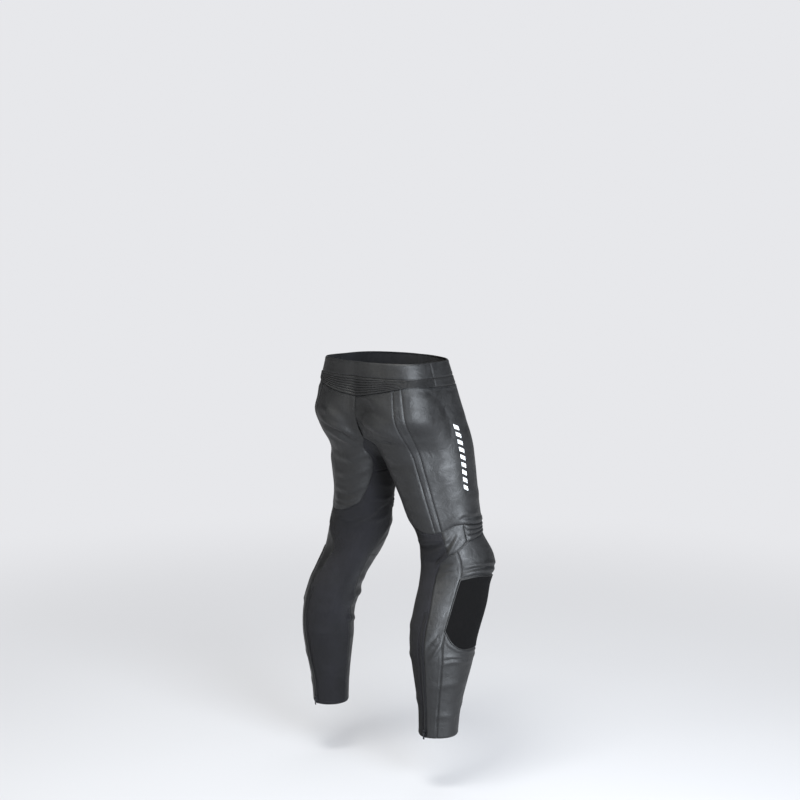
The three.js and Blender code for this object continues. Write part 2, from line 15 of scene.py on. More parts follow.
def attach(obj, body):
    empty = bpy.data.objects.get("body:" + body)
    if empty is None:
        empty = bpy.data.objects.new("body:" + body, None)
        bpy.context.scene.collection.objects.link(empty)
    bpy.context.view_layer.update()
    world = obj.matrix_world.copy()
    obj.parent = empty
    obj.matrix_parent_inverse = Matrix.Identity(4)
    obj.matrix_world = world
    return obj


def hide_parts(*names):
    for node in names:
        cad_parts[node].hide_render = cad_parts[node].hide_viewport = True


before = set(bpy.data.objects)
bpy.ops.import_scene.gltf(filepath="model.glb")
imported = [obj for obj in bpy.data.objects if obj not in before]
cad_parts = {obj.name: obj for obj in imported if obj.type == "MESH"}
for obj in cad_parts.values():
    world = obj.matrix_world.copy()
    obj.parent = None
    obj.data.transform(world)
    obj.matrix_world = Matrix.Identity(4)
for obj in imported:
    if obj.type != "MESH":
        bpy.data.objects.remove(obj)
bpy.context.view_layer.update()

MM = 0.001
RIGHT, LEFT = -1, 1
SIDES = {"r": RIGHT, "l": LEFT}
HEM = -925

# %% [markdown]
# ## The form inside the leather
# A worn trouser leg is a bent tube whose girth changes all the way down. It could be sculpted, but half girths
# in eight directions, read off a tape measure at each height, say the same thing in a form that can be checked.
# Two such tubes melt into each other above the crotch, which makes the seat and the valley between its halves.

# %% Tables of the worn form, in millimetres
# height: [right out, right back, left out, left back, lift of the left leg's seams]
PATH = {
    0: [74, 0, 74, 0, 0], -60: [80, -3, 80, -2, 0], -140: [88, -14, 88, -6, 0], -190: [95, -28, 95, -12, 0],
    -240: [103, -41, 104, -20, 0], -300: [116, -51, 114, -30, 0], -350: [128, -57, 122, -37, 10],
    -430: [146, -70, 138, -41, 26], -510: [170, -77, 160, -40, 20], -560: [179, -55, 173, -16, 13],
    -600: [185, -36, 182, 4, 8], -680: [194, 1, 190, 24, 0], -750: [195, 6, 191, 26, 0],
    -860: [193, 14, 190, 22, 0], HEM: [191, 16, 190, 20, 0],
}
# height: [front, front outer, outer, back outer, back, back inner, inner, front inner]
GIRTH = {
    0: [112, 97, 80, 102, 108, 146, 150, 150], -60: [118, 110, 92, 112, 118, 142, 150, 146],
    -100: [122, 116, 96, 116, 130, 142, 150, 146], -140: [122, 121, 98, 121, 140, 140, 136, 145],
    -180: [118, 122, 100, 98, 134, 134, 120, 136], -215: [116, 120, 100, 83, 112, 122, 106, 120],
    -240: [114, 116, 100, 83, 100, 116, 94, 110], -265: [110, 112, 98, 85, 98, 112, 90, 102],
    -300: [104, 106, 95, 81, 96, 106, 86, 90], -350: [98, 98, 90, 76, 92, 98, 83, 82],
    -400: [92, 91, 85, 76, 88, 93, 80, 79], -430: [87, 84, 80, 76, 84, 84, 78, 82],
    -460: [88, 86, 79, 78, 80, 84, 76, 82], -510: [92, 92, 80, 76, 78, 92, 74, 76],
    -560: [84, 88, 76, 72, 82, 88, 70, 72], -600: [80, 89, 74, 70, 86, 89, 68, 69],
    -640: [78, 87, 73, 70, 86, 87, 68, 69], -690: [72, 82, 70, 67, 82, 82, 65, 66],
    -740: [68, 76, 67, 66, 76, 76, 64, 66], -800: [60, 64, 60, 58, 66, 64, 56, 58],
    -860: [52, 54, 52, 50, 54, 52, 48, 50], HEM: [48, 50, 48, 46, 50, 48, 46, 46],
}
SOFTNESS = {0: [4], -60: [10], -120: [30], -190: [50], -260: [46], -330: [24], -410: [8], HEM: [8]}


def read_table(table, height):
    """Smooth values between the rows of a table, for an array of heights."""
    depth = -np.array(list(table), float)
    rows = np.array(list(table.values()), float)
    slope = np.empty_like(rows)
    slope[1:-1] = (rows[2:] - rows[:-2]) / (depth[2:] - depth[:-2])[:, None]
    slope[0] = (rows[1] - rows[0]) / (depth[1] - depth[0])
    slope[-1] = (rows[-1] - rows[-2]) / (depth[-1] - depth[-2])
    q = np.clip(-np.asarray(height, float), depth[0], depth[-1])
    i = np.clip(np.searchsorted(depth, q, side="right") - 1, 0, len(depth) - 2)
    span = (depth[i + 1] - depth[i])[..., None]
    t = (q - depth[i])[..., None] / span
    return (rows[i] * (2 * t**3 - 3 * t**2 + 1) + slope[i] * span * (t**3 - 2 * t**2 + t)
            + rows[i + 1] * (3 * t**2 - 2 * t**3) + slope[i + 1] * span * (t**3 - t**2))


def leg_middle(side, height):
    row = read_table(PATH, height)
    return (-row[..., 0], row[..., 1]) if side == RIGHT else (row[..., 2], row[..., 3])


def seam_height(side, level):
    level = np.asarray(level, float)
    return level + (read_table(PATH, level)[..., 4] if side == LEFT else 0)


def half_girth(turn, height):
    rows = read_table(GIRTH, height)
    step = (np.asarray(turn, float) / 45) % 8
    k = np.floor(step).astype(int)
    t = step - k
    a, b, c, d = (np.take_along_axis(rows, ((k + n) % 8)[..., None], -1)[..., 0] for n in (7, 0, 1, 2))
    return 0.5 * (2 * b + (c - a) * t + (2 * a - 5 * b + 4 * c - d) * t**2 + (3 * b - a - 3 * c + d) * t**3)


def leg_distance(side, p):
    x, y = leg_middle(side, p[..., 2])
    out, back = (p[..., 0] - x) * side, p[..., 1] - y
    return np.hypot(out, back) - half_girth(np.degrees(np.arctan2(out, -back)), p[..., 2])


def form_distance(p):
    a, b = leg_distance(RIGHT, p), leg_distance(LEFT, p)
    soft = read_table(SOFTNESS, p[..., 2])[..., 0]
    near = np.maximum(soft - np.abs(a - b), 0) / soft
    return np.minimum(a, b) - near * near * soft / 4


def form_normal(p):
    step = np.eye(3) * 0.5
    n = np.stack([form_distance(p + s) - form_distance(p - s) for s in step], -1)
    return n / np.linalg.norm(n, axis=-1, keepdims=True)


def ray_to_form(start, direction, reach=260.0):
    """Where rays that start inside the form leave it."""
    low = np.zeros(start.shape[:-1])
    high = np.full(start.shape[:-1], reach)
    for _ in range(26):
        mid = (low + high) / 2
        inside = form_distance(start + direction * mid[..., None]) < 0
        low, high = np.where(inside, mid, low), np.where(inside, high, mid)
    return start + direction * low[..., None]


def leg_point(side, turn, level):
    """turn: 0 front, 90 outer, 180 back, 270 inner, seen from the leg's own middle."""
    height = seam_height(side, level)
    x, y = leg_middle(side, height)
    angle = np.radians(turn)
    direction = np.stack([side * np.sin(angle), -np.cos(angle), 0 * angle], -1)
    return ray_to_form(np.stack([x, y, height], -1), direction)


def centre_turn(side, level, way):
    """Turn of the centre line, front (-1) or back (+1), in the leg's own measure."""
    height = seam_height(side, level)
    x, y = leg_middle(side, height)
    zero = 0 * height
    p = ray_to_form(np.stack([zero, zero, height], -1), np.stack([zero, zero + way, zero], -1))
    turn = np.degrees(np.arctan2(-x * side, -(p[..., 1] - y)))
    return turn + 360 if way > 0 else turn


print("girth of the right thigh below the crotch:", round(float(2 * math.pi * half_girth(
    np.arange(0, 360, 5.0), np.full(72, -300.0)).mean())), "mm")

# %% [markdown]
# ## Seams
# A pattern cutter draws each seam once and cuts both neighbours to it. The seams here are curves through a few
# places, each a turn round the leg and a level down it. They could be edge loops picked on a mesh, but a named
# curve can be shared by two panels, by the thread that closes them and by the folds beside them.

# %% Seam curves
STRIP_BACK, STRIP_FRONT, SIDE_SEAM = 160, 149, 96
YOKE_BACK, YOKE_FRONT = -86, -60
FORK_BACK, FORK_FRONT = -195, -190
GUSSET_MIDDLE, GUSSET_SPREAD, GUSSET_LEVEL = -226, 9, -290
KNEE_SEAM, INNER_FRONT, PATCH_FOOT, BAND_DEPTH = -424, -54, -700, 38
PER_DEGREE = 1.5     # millimetres of leather to a degree, on a leg of common girth


def seam(places, count=121):
    """A smooth line through [turn, level] places, as evenly spaced points."""
    p = np.array(places, float) * [PER_DEGREE, 1]
    if len(p) > 2:
        ends = [2 * p[0] - p[1], 2 * p[-1] - p[-2]]
        q = np.vstack([ends[0], p, ends[1]])
        out = []
        for i in range(1, len(q) - 2):
            t = np.linspace(0, 1, 24, endpoint=False)[:, None]
            a, b, c, d = q[i - 1:i + 3]
            out.append(0.5 * (2 * b + (c - a) * t + (2 * a - 5 * b + 4 * c - d) * t**2
                              + (3 * b - a - 3 * c + d) * t**3))
        p = np.vstack(out + [p[-1:]])
    run = np.r_[0, np.cumsum(np.hypot(*np.diff(p, axis=0).T))]
    at = np.linspace(0, run[-1], count)
    return np.stack([np.interp(at, run, p[:, 0]) / PER_DEGREE, np.interp(at, run, p[:, 1])], -1)


def on_centre(side, way, start, end, count=121):
    level = np.linspace(start, end, count)
    return np.stack([centre_turn(side, level, way), level], -1)


def join(*lines):
    return np.vstack([line if i == 0 else line[1:] for i, line in enumerate(lines)])


def turned(line):
    return np.where(line[:, :1] < 0, line + [[360, 0]], line)


def seams_of(side):
    s = {}
    back, front = float(centre_turn(side, YOKE_BACK, 1)), float(centre_turn(side, YOKE_FRONT, -1))
    s["yoke seat"] = seam([[back, YOKE_BACK], [186, -75], [STRIP_BACK, -64]])
    s["yoke strip"] = seam([[STRIP_BACK, -64], [STRIP_FRONT, -59]])
    s["yoke hip"] = seam([[STRIP_FRONT, -59], [140, -56], [110, -57], [SIDE_SEAM, -59]])
    s["yoke front"] = seam([[SIDE_SEAM, -59], [40, YOKE_FRONT], [front, YOKE_FRONT]])
    s["back line"] = on_centre(side, 1, YOKE_BACK, FORK_BACK)
    s["front line"] = on_centre(side, -1, YOKE_FRONT, FORK_FRONT)
    s["gusset back"] = seam([s["back line"][-1], [float(centre_turn(side, GUSSET_MIDDLE, 1)) - GUSSET_SPREAD,
                             GUSSET_MIDDLE], [238, -258], [238, GUSSET_LEVEL]])
    s["gusset front"] = seam([s["front line"][-1], [float(centre_turn(side, GUSSET_MIDDLE, -1)) + GUSSET_SPREAD,
                              GUSSET_MIDDLE], [INNER_FRONT, -258], [INNER_FRONT, GUSSET_LEVEL]])
    s["seat inner"] = seam([[238, GUSSET_LEVEL], [235, -315], [229, -350], [220, -393]])
    s["thigh inner"] = seam([[INNER_FRONT, GUSSET_LEVEL], [INNER_FRONT + 2, -340], [INNER_FRONT, -408]])
    s["seat bottom"] = seam([[STRIP_BACK, KNEE_SEAM], [176, -426], [200, -418], [220, -393]])
    s["strip bottom"] = seam([[STRIP_FRONT, -420], [STRIP_BACK, KNEE_SEAM]])
    s["strip back"] = seam([[STRIP_BACK, -64], [STRIP_BACK, KNEE_SEAM]])
    s["strip front"] = seam([[STRIP_FRONT, -59], [STRIP_FRONT, -420]])
    s["wedge top"] = seam([[STRIP_FRONT, -420], [124, -406], [104, -402]])
    s["knee top"] = seam([[104, -402], [56, -408], [0, -408], [INNER_FRONT, -408]])
    s["knee bottom"] = seam([[104, -444], [56, -434], [0, -432], [INNER_FRONT, -434]])
    s["knee outer"] = seam([[104, -402], [104, -444]])
    s["knee inner"] = seam([[INNER_FRONT, -408], [INNER_FRONT, -434]])
    s["cap shoulder"] = seam([[131, -467], [104, -444]])
    s["wedge back"] = seam([[STRIP_FRONT, -420], [150, -480]])
    s["wedge foot"] = seam([[150, -480], [131, -467]])
    s["calf top"] = seam([[180, -528], [171, -502], [150, -480]])
    s["cap outer"] = seam([[131, -467], [130, -490], [131, -531]])
    s["cap inner"] = seam([[INNER_FRONT, -434], [-64, -476], [-90, -516], [-100, -538]])
    s["cap bottom"] = seam([[131, -531], [97, -526], [60, -532], [0, -545], [-60, -546], [-100, -538]])
    s["shin outer"] = seam([[131, -531], [138, -652], [138, PATCH_FOOT], [140, -800], [142, HEM]])
    s["shin inner"] = seam([[-100, -538], [-91, -589], [-83, -628], [-76, PATCH_FOOT], [-76, HEM]])
    s["hem shin"] = seam([[142, HEM], [-76, HEM]])
    s["calf back"] = seam([[180, -528], [178, -560], [174, -611]])
    s["zip top"] = seam([[174, -611], [183, -611]])
    s["zip outer"] = seam([[174, -611], [173, -739], [173, HEM]])
    s["zip inner"] = seam([[183, -611], [183, HEM]])
    s["hem calf"] = seam([[173, HEM], [142, HEM]])
    s["hem zip"] = seam([[173, HEM], [183, HEM]])
    s["inner top"] = seam([[238, GUSSET_LEVEL], [360 + INNER_FRONT, GUSSET_LEVEL]])
    s["inner middle"] = seam([[220, -393], [360 + INNER_FRONT, -408]])
    s["hem inner"] = seam([[183, HEM], [284, HEM]])
    return s


seams = {mark: seams_of(side) for mark, side in SIDES.items()}
print(len(seams["r"]), "seam lines on each leg")

# %% [markdown]
# ## Folds
# Leather that has taken the shape of a body keeps its creases: fans below the seat, rolls behind the knee,
# slack above the boots. A cloth solver would invent its own, so each main crease is placed as a short
# soft ridge or trough along a line on the leg, with its own width and height.

# %% Folds placed one by one
# legs, places [turn, level] along the fold, half width (mm), height (mm; a trough is less than 0)
FOLDS = [
    # the seat: the rim of each buttock, the slack above it, the crease below it
    ("r", [(216, -112), (210, -134), (199, -150), (182, -160), (170, -172), (163, -188)], 11, 7.0),
    ("r", [(204, -90), (186, -118), (166, -136)], 10, -6.0),
    ("r", [(216, -86), (190, -92), (166, -104)], 9, 2.6),
    ("r", [(226, -120), (222, -160), (216, -192)], 9, -6.0),
    ("r", [(219, -208), (200, -207), (182, -206), (168, -204)], 10, -8.0),
    ("r", [(205, -222), (202, -262), (203, -304)], 13, 2.6),
    ("r", [(216, -244), (190, -236), (166, -238)], 7, 3.2), ("r", [(214, -262), (190, -258), (168, -262)], 7, -3.0),
    ("r", [(214, -284), (188, -280), (162, -290)], 9, 1.8), ("r", [(212, -330), (186, -326), (160, -338)], 10, 1.8),
    ("r", [(214, -368), (190, -366), (163, -376)], 8, 2.2), ("r", [(212, -384), (186, -386), (164, -392)], 6, -1.6),
    ("l", [(171, -146), (188, -161), (204, -175), (219, -203)], 7, 6.5),
    ("l", [(170, -157), (186, -173), (201, -187), (216, -214)], 7, -7.0),
    ("l", [(184, -106), (200, -134), (213, -178)], 9, -3.6), ("l", [(172, -116), (192, -140), (207, -162)], 8, 3.0),
    ("l", [(190, -186), (201, -200), (218, -221)], 7, 4.6), ("l", [(172, -180), (190, -206), (206, -222)], 9, -3.0),
    ("l", [(214, -90), (218, -120), (224, -160)], 9, 2.6),
    # the backs of the thighs
    ("l", [(166, -244), (206, -256), (234, -236)], 7, 2.8), ("l", [(166, -262), (204, -272), (232, -252)], 7, -2.0),
    ("l", [(168, -293), (206, -300), (232, -280)], 7, 2.6), ("l", [(168, -310), (206, -318), (230, -298)], 6, -1.8),
    ("l", [(166, -346), (206, -354), (227, -332)], 7, 2.8), ("l", [(166, -364), (204, -372), (224, -350)], 6, -2.0),
    ("l", [(168, -384), (198, -392), (216, -378)], 6, 2.6), ("l", [(166, -404), (200, -408), (222, -394)], 5, 2.6),
    # behind the knees
    ("l", [(161, -438), (206, -444), (246, -420)], 7, 3.4), ("l", [(200, -470), (228, -446), (266, -412)], 8, 2.8),
    ("l", [(176, -466), (204, -478), (232, -470)], 8, -2.2), ("l", [(180, -500), (206, -508), (234, -500)], 9, 1.8),
    ("r", [(222, -456), (190, -450), (159, -441), (132, -433)], 6, 5.0),
    ("r", [(222, -470), (190, -462), (160, -452), (138, -444)], 5, -4.0),
    ("r", [(222, -494), (190, -480), (168, -467), (142, -452)], 6, 4.0),
    ("r", [(210, -506), (186, -496), (170, -482)], 6, -2.6), ("r", [(206, -524), (190, -520), (176, -512)], 7, 2.0),
    # the slack outer side of the right knee, from the ribs down to the calf
    ("r", [(115, -426), (128, -443), (146, -470), (170, -495), (180, -510)], 5, 4.6),
    ("r", [(120, -420), (138, -446), (158, -474), (184, -502)], 4, -3.4),
    ("r", [(132, -424), (152, -452), (172, -478), (194, -500)], 5, 3.2),
    ("r", [(180, -524), (159, -510), (138, -501)], 5, 3.4), ("r", [(176, -538), (158, -524), (138, -516)], 6, 2.2),
    ("l", [(118, -428), (138, -458), (166, -492)], 6, 3.0), ("l", [(134, -430), (156, -462), (182, -490)], 5, -2.2),
    # above the knees: the thigh leather hangs over the ribs
    ("r", [(149, -409), (124, -396), (104, -393), (56, -398), (0, -399)], 6, 3.4),
    ("r", [(128, -394), (101, -376), (61, -380)], 7, 3.6), ("r", [(124, -404), (101, -386), (61, -388)], 5, -2.2),
    ("l", [(149, -411), (124, -397), (104, -394), (56, -399), (0, -400), (-50, -400)], 6, 3.0),
    ("l", [(90, -378), (40, -386), (-20, -380)], 9, 2.6), ("r", [(20, -374), (-20, -380), (-50, -376)], 8, 2.4),
    # the knee caps
    ("r", [(131, -506), (105, -502), (72, -504), (36, -512)], 5, 3.6),
    ("r", [(131, -515), (106, -510), (70, -511), (36, -520)], 3.5, -2.8),
    ("r", [(131, -524), (106, -518), (68, -520), (30, -530)], 4, 3.0),
    ("l", [(131, -508), (104, -503), (70, -506), (20, -514)], 5, 3.0),
    ("l", [(131, -524), (104, -518), (64, -522), (10, -534)], 4, 2.6),
    ("rl", [(-20, -462), (-46, -470), (-70, -490)], 8, 2.4), ("rl", [(-40, -500), (-70, -514), (-92, -534)], 7, 2.2),
    # the shins and calves, where the boots push the legs up
    ("l", [(-98, -640), (-76, -637), (-46, -636), (-20, -642)], 9, 5.5),
    ("l", [(-92, -690), (-64, -697), (-40, -702)], 8, 6.0), ("l", [(-96, -664), (-64, -668), (-36, -670)], 8, -3.5),
    ("l", [(-92, -606), (-64, -602), (-36, -604)], 10, 3.2),
    ("r", [(139, -671), (150, -699), (165, -728)], 6, 2.8), ("r", [(146, -650), (160, -676), (172, -700)], 6, -2.0),
    ("rl", [(141, -636), (138, -660), (125, -683), (104, -699), (80, -707), (40, -709), (6, -700)], 3.4, 3.2),
    ("r", [(142, -716), (118, -712), (96, -716), (70, -722)], 4, 3.6),
    ("r", [(144, -732), (116, -726), (92, -730), (64, -736)], 5, 3.2),
    ("l", [(142, -716), (118, -712), (96, -716), (70, -722)], 4, 3.0),
    ("rl", [(60, -722), (20, -724), (-30, -728)], 9, 4.5), ("rl", [(190, -716), (216, -722), (246, -716)], 9, 2.6),
    ("l", [(186, -652), (212, -664), (238, -660)], 10, 2.4), ("r", [(186, -644), (210, -652), (236, -644)], 10, 2.4),
    ("rl", [(60, -790), (120, -784), (170, -796)], 10, 2.2), ("rl", [(-40, -850), (20, -842), (70, -852)], 11, 2.2),
    ("rl", [(190, -842), (230, -834), (276, -846)], 10, 2.0), ("rl", [(80, -872), (130, -866), (168, -874)], 9, 1.8),
    # the lap of a rider: the groin and the inner thighs
    ("rl", [(-34, -186), (-8, -206), (22, -238)], 9, 3.6), ("rl", [(-40, -160), (-6, -178), (34, -200)], 9, 3.0),
    ("rl", [(-44, -216), (-26, -240), (-8, -262)], 8, -3.4), ("rl", [(-40, -128), (0, -146), (44, -160)], 10, -2.4),
    ("rl", [(20, -328), (56, -338), (92, -346)], 12, 1.8), ("rl", [(-44, -350), (-6, -362), (40, -358)], 10, 2.4),
    ("rl", [(244, -330), (272, -346), (300, -350)], 9, 2.4), ("rl", [(236, -382), (268, -392), (300, -388)], 8, 2.8),
    ("rl", [(232, -450), (262, -452), (296, -442)], 8, 3.2), ("rl", [(236, -420), (262, -424), (292, -416)], 7, -2.4),
]


def fold_height(side_mark, turn, level):
    """Height of all folds at places on one leg."""
    total = np.zeros(np.shape(turn))
    place = np.stack([(np.asarray(turn) + 60) % 360 - 60, level], -1) * [PER_DEGREE, 1]
    for legs, line, width, height in FOLDS:
        if side_mark not in legs:
            continue
        line = np.array(line, float) * [PER_DEGREE, 1]
        lengths = np.hypot(*np.diff(line, axis=0).T)
        runs = np.r_[0, np.cumsum(lengths)]
        for shift in (-360, 0, 360):
            near = np.full(total.shape, 1e9)
            share = np.zeros(total.shape)
            for k, length in enumerate(lengths):
                start = line[k] + [shift * PER_DEGREE, 0]
                along = line[k + 1] - line[k]
                u = np.clip(((place - start) @ along) / length**2, 0, 1)
                gap = np.linalg.norm(place - start - u[..., None] * along, axis=-1)
                closer = gap < near
                near = np.where(closer, gap, near)
                share = np.where(closer, (runs[k] + u * length) / runs[-1], share)
            if near.min() < 3 * width:
                taper = np.clip(np.sin(share * math.pi), 0.05, 1)**0.7
                total += height * taper * np.exp(-(near / width)**2)
    return total


def soft_step(x, low, high):
    t = np.clip((x - low) / (high - low), 0, 1)
    return t * t * (3 - 2 * t)


HIP_PAD = [(150, -66), (133, -62), (112, -72), (93, -98), (84, -138), (92, -188), (108, -226), (132, -240),
           (150, -232)]


def padding_height(turn, level):
    """The hip and knee protectors lift the leather over them by a few millimetres."""
    turn = (np.asarray(turn) + 180) % 360 - 180
    place = np.stack([turn, level], -1) * [PER_DEGREE, 1]
    rim = np.array(HIP_PAD, float) * [PER_DEGREE, 1]
    inside = np.zeros(np.shape(turn), bool)
    near = np.full(np.shape(turn), 1e9)
    for a, b in zip(rim, np.roll(rim, -1, 0)):
        crosses = (a[1] > place[..., 1]) != (b[1] > place[..., 1])
        at = (b[0] - a[0]) * (place[..., 1] - a[1]) / (b[1] - a[1] + 1e-9) + a[0]
        inside ^= crosses & (place[..., 0] < at)
        along = b - a
        u = np.clip(((place - a) @ along) / (along @ along), 0, 1)
        near = np.minimum(near, np.linalg.norm(place - a - u[..., None] * along, axis=-1))
    hip = np.where(inside, soft_step(near, -1, 20), 0)
    hip = hip - 0.35 * np.where(inside, 0, np.exp(-(near / 6)**2)) * (turn < 147)
    hip = hip * (1 - 0.75 * soft_step(-np.asarray(level, float), 150, 235))
    knee = np.exp(-((turn - 25) / 52)**2 - ((level + 488) / 34)**2)
    return 3.4 * hip + 5 * knee


print(len(FOLDS), "folds placed")

# %% [markdown]
# ## From seams to a sewn panel
# A panel is the field between its seams, laid on the form and given a wall. Its edges roll under where the seam
# pulls them in, the shadow line that makes leather look sewn, and the leather's colour darkens there as painted shade.
# The wall could be a Solidify modifier, but building it here keeps the edge roll and lets the flesh side have its own
# finish.

# %% Panel builder
STEP = 4.5           # spacing of a panel's points, mm
LEATHER, STRETCH, BAND, LOOP, TAPE = 1.4, 1.2, 2.6, 2.0, 1.8
SEAM_GAP = 0.3


def corners_of(line):
    """Fractions of a joined line's length at which its own seams meet."""
    return line[1] if isinstance(line, tuple) else []


def joined(*lines):
    """Seams one after another, with the fractions at which they meet."""
    points = join(*lines)
    run = np.r_[0, np.cumsum(np.hypot(*(np.diff(points, axis=0) * [PER_DEGREE, 1]).T))]
    ends = np.cumsum([len(line) - 1 for line in lines])[:-1]
    return points, [float(run[k] / run[-1]) for k in ends]


def line_at(line, at):
    points = line[0] if isinstance(line, tuple) else line
    run = np.r_[0, np.cumsum(np.hypot(*(np.diff(points, axis=0) * [PER_DEGREE, 1]).T))]
    run /= run[-1]
    return np.stack([np.interp(at, run, points[:, k]) for k in (0, 1)], -1)


def length_of(line):
    points = line[0] if isinstance(line, tuple) else line
    return np.hypot(*(np.diff(points, axis=0) * [PER_DEGREE, 1]).T).sum()


def spacing(first, second, step=STEP):
    """Fractions along two facing sides: close together near both ends, and one at every corner."""
    length = max(length_of(first), length_of(second))
    near = np.array([0, 1.1, 2.4, 4.2]) / length
    if length < 14:
        near = np.array([0, 1.0]) / length
    middle = np.linspace(near[-1], 1 - near[-1], max(3, round(length / step)))
    at = np.r_[near[:-1], middle, 1 - near[:-1][::-1]]
    for corner in sorted(corners_of(first) + corners_of(second)):
        k = 1 + int(np.argmin(np.abs(at[1:-1] - corner)))
        at[k] = corner
    return at


def lay(mark, top, bottom, start, end, step=STEP, rows=None, u=None):
    """A panel's points between its four sides, laid on the form."""
    u = spacing(top, bottom, step) if u is None else u
    v = spacing(start, end, step)
    if rows:
        v = np.linspace(0, 1, rows)
    top, bottom, start, end = line_at(top, u), line_at(bottom, u), line_at(start, v), line_at(end, v)
    uu, vv = u[None, :, None], v[:, None, None]
    place = ((1 - vv) * top[None] + vv * bottom[None] + (1 - uu) * start[:, None] + uu * end[:, None]
             - (1 - uu) * (1 - vv) * top[0] - uu * (1 - vv) * top[-1]
             - (1 - uu) * vv * bottom[0] - uu * vv * bottom[-1])
    return dict(on_form(mark, place), u=u, v=v)


def on_form(mark, place):
    point = leg_point(SIDES[mark], place[..., 0], place[..., 1])
    lift = fold_height(mark, place[..., 0], place[..., 1]) + padding_height(place[..., 0], place[..., 1])
    return {"point": point, "normal": form_normal(point), "lift": lift, "place": place}


def cloth_mesh(name, fields, wall, base=0.0, rise=None, roll=0.9, roll_width=5.0, gap=0.04):
    """Outer face, flesh side and edge of one panel, as a closed mesh."""
    points, normals, lifts, flat, grids, count = [], [], [], [], [], 0
    for f in fields:
        n, m = f["point"].shape[:2]
        extra = np.zeros((n, m)) if rise is None else rise(*np.meshgrid(f["v"], f["u"], indexing="ij"))
        points.append(f["point"].reshape(-1, 3))
        normals.append(f["normal"].reshape(-1, 3))
        lifts.append((f["lift"] + extra).ravel())
        flat.append((f["place"] * [PER_DEGREE, 1]).reshape(-1, 2))
        grids.append(count + np.arange(n * m).reshape(n, m))
        count += n * m
    p, n, lift, flat = (np.concatenate(x) for x in (points, normals, lifts, flat))
    same = np.arange(count)
    if len(grids) > 1:
        # the second field's first row runs along the first field's last row
        known = KDTree(grids[0].shape[1])
        for v in grids[0][-1]:
            known.insert(p[v], int(v))
        known.balance()
        for v in grids[1][0]:
            _, twin, gap_between = known.find(p[v])
            if gap_between < 0.01:
                same[v] = twin
    quads = []
    for grid in grids:
        block = np.stack([grid[:-1, :-1], grid[:-1, 1:], grid[1:, 1:], grid[1:, :-1]], -1).reshape(-1, 4)
        a, b, c = p[block[:, 0]], p[block[:, 1]], p[block[:, 3]]
        if (np.cross(b - a, c - a) * n[block[:, 0]]).sum() < 0:
            block = block[:, ::-1]
        quads.append(same[block])
    quads = np.vstack(quads)
    used, quads = np.unique(quads, return_inverse=True)
    quads = quads.reshape(-1, 4)
    p, n, lift, flat = p[used], n[used], lift[used], flat[used]
    # edges that belong to one quad only are the panel's outline
    edges = {}
    for q, quad in enumerate(quads):
        for k in range(4):
            s, e = int(quad[k]), int(quad[(k + 1) % 4])
            if (e, s) in edges:
                del edges[(e, s)]
            else:
                edges[(s, e)] = q
    inward = np.zeros_like(p)
    outline = sorted({v for edge in edges for v in edge})
    for (s, e), q in edges.items():
        along = p[e] - p[s]
        along /= np.linalg.norm(along) + 1e-9
        across = p[quads[q]].mean(0) - (p[s] + p[e]) / 2
        across -= along * (across @ along)
        across /= np.linalg.norm(across) + 1e-9
        inward[s] += across
        inward[e] += across
    size = np.linalg.norm(inward, axis=1, keepdims=True)
    inward = np.where(size > 0, inward / np.maximum(size, 0.5), 0)
    rim = [(p[s] * (1 - t) + p[e] * t) for s, e in edges for t in (0, 0.33, 0.67)]
    tree = KDTree(len(rim))
    for k, place in enumerate(rim):
        tree.insert(place, k)
    tree.balance()
    distance = np.array([tree.find(v)[2] for v in p])
    dip = 1.2 * roll * np.exp(-(distance / (roll_width * 0.42))**2) - 0.45 * roll * np.exp(
        -((distance - roll_width) / (roll_width * 0.5))**2)
    outer = p + n * (base + lift - dip)[:, None] + inward * gap
    inner = outer - n * wall
    count = len(p)
    faces = [tuple(q) for q in quads.tolist()]
    faces += [tuple(v + count for v in reversed(q)) for q in quads.tolist()]
    faces += [(s, s + count, e + count, e) for s, e in edges]
    mesh = bpy.data.meshes.new(name)
    mesh.from_pydata((np.vstack([outer, inner]) * MM).tolist(), [], faces)
    cut = mesh.uv_layers.new(name="cut")
    corner_vertex = np.empty(len(mesh.loops), dtype=np.int32)
    mesh.loops.foreach_get("vertex_index", corner_vertex)
    cut.data.foreach_set("uv", (np.vstack([flat, flat])[corner_vertex] * MM * 10).astype(np.float32).ravel())
    # distance to the panel's edge, in mm; the leather finish uses it to paint shade along the seams
    near = mesh.attributes.new("seam_distance", "FLOAT", "POINT")
    near.data.foreach_set("value", np.r_[distance, distance].astype(np.float32))
    inner_faces = np.zeros(len(mesh.polygons), dtype=bool)
    inner_faces[len(quads):2 * len(quads)] = True
    mesh.polygons.foreach_set("material_index", inner_faces.astype(np.int32))
    mesh.polygons.foreach_set("use_smooth", np.ones(len(mesh.polygons), dtype=bool))
    mesh.set_sharp_from_angle(angle=math.radians(58))
    mesh.update()
    area = sum(0.5 * np.linalg.norm(np.cross(outer[q[2]] - outer[q[0]], outer[q[3]] - outer[q[1]])) for q in quads)
    return mesh, area * MM * MM


def finish_panel(mesh, area, materials, slot, node, fields, body="trousers"):
    piece = bpy.data.objects.new(mesh.name, mesh)
    bpy.context.scene.collection.objects.link(piece)
    for material in materials:
        mesh.materials.append(material)
    widths, lengths = [], []
    for f in fields:
        q = f["point"]
        widths.append(np.linalg.norm(np.diff(q, axis=1), axis=2).sum(1).max())
        lengths.append(np.linalg.norm(np.diff(q, axis=0), axis=2).sum(0).max())
    width, length = max(widths) * MM, sum(lengths) * MM if len(fields) > 1 and slot == "stretch" else max(lengths) * MM
    area = min(area, width * length * 0.999)
    area = max(area, width * length * 0.31)
    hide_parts(node)
    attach(piece, body)
    print(f"{node}: cut {width * 1000:.0f} x {length * 1000:.0f} mm, {area * 1e4:.0f} cm2, {len(mesh.polygons)} faces")
    return piece


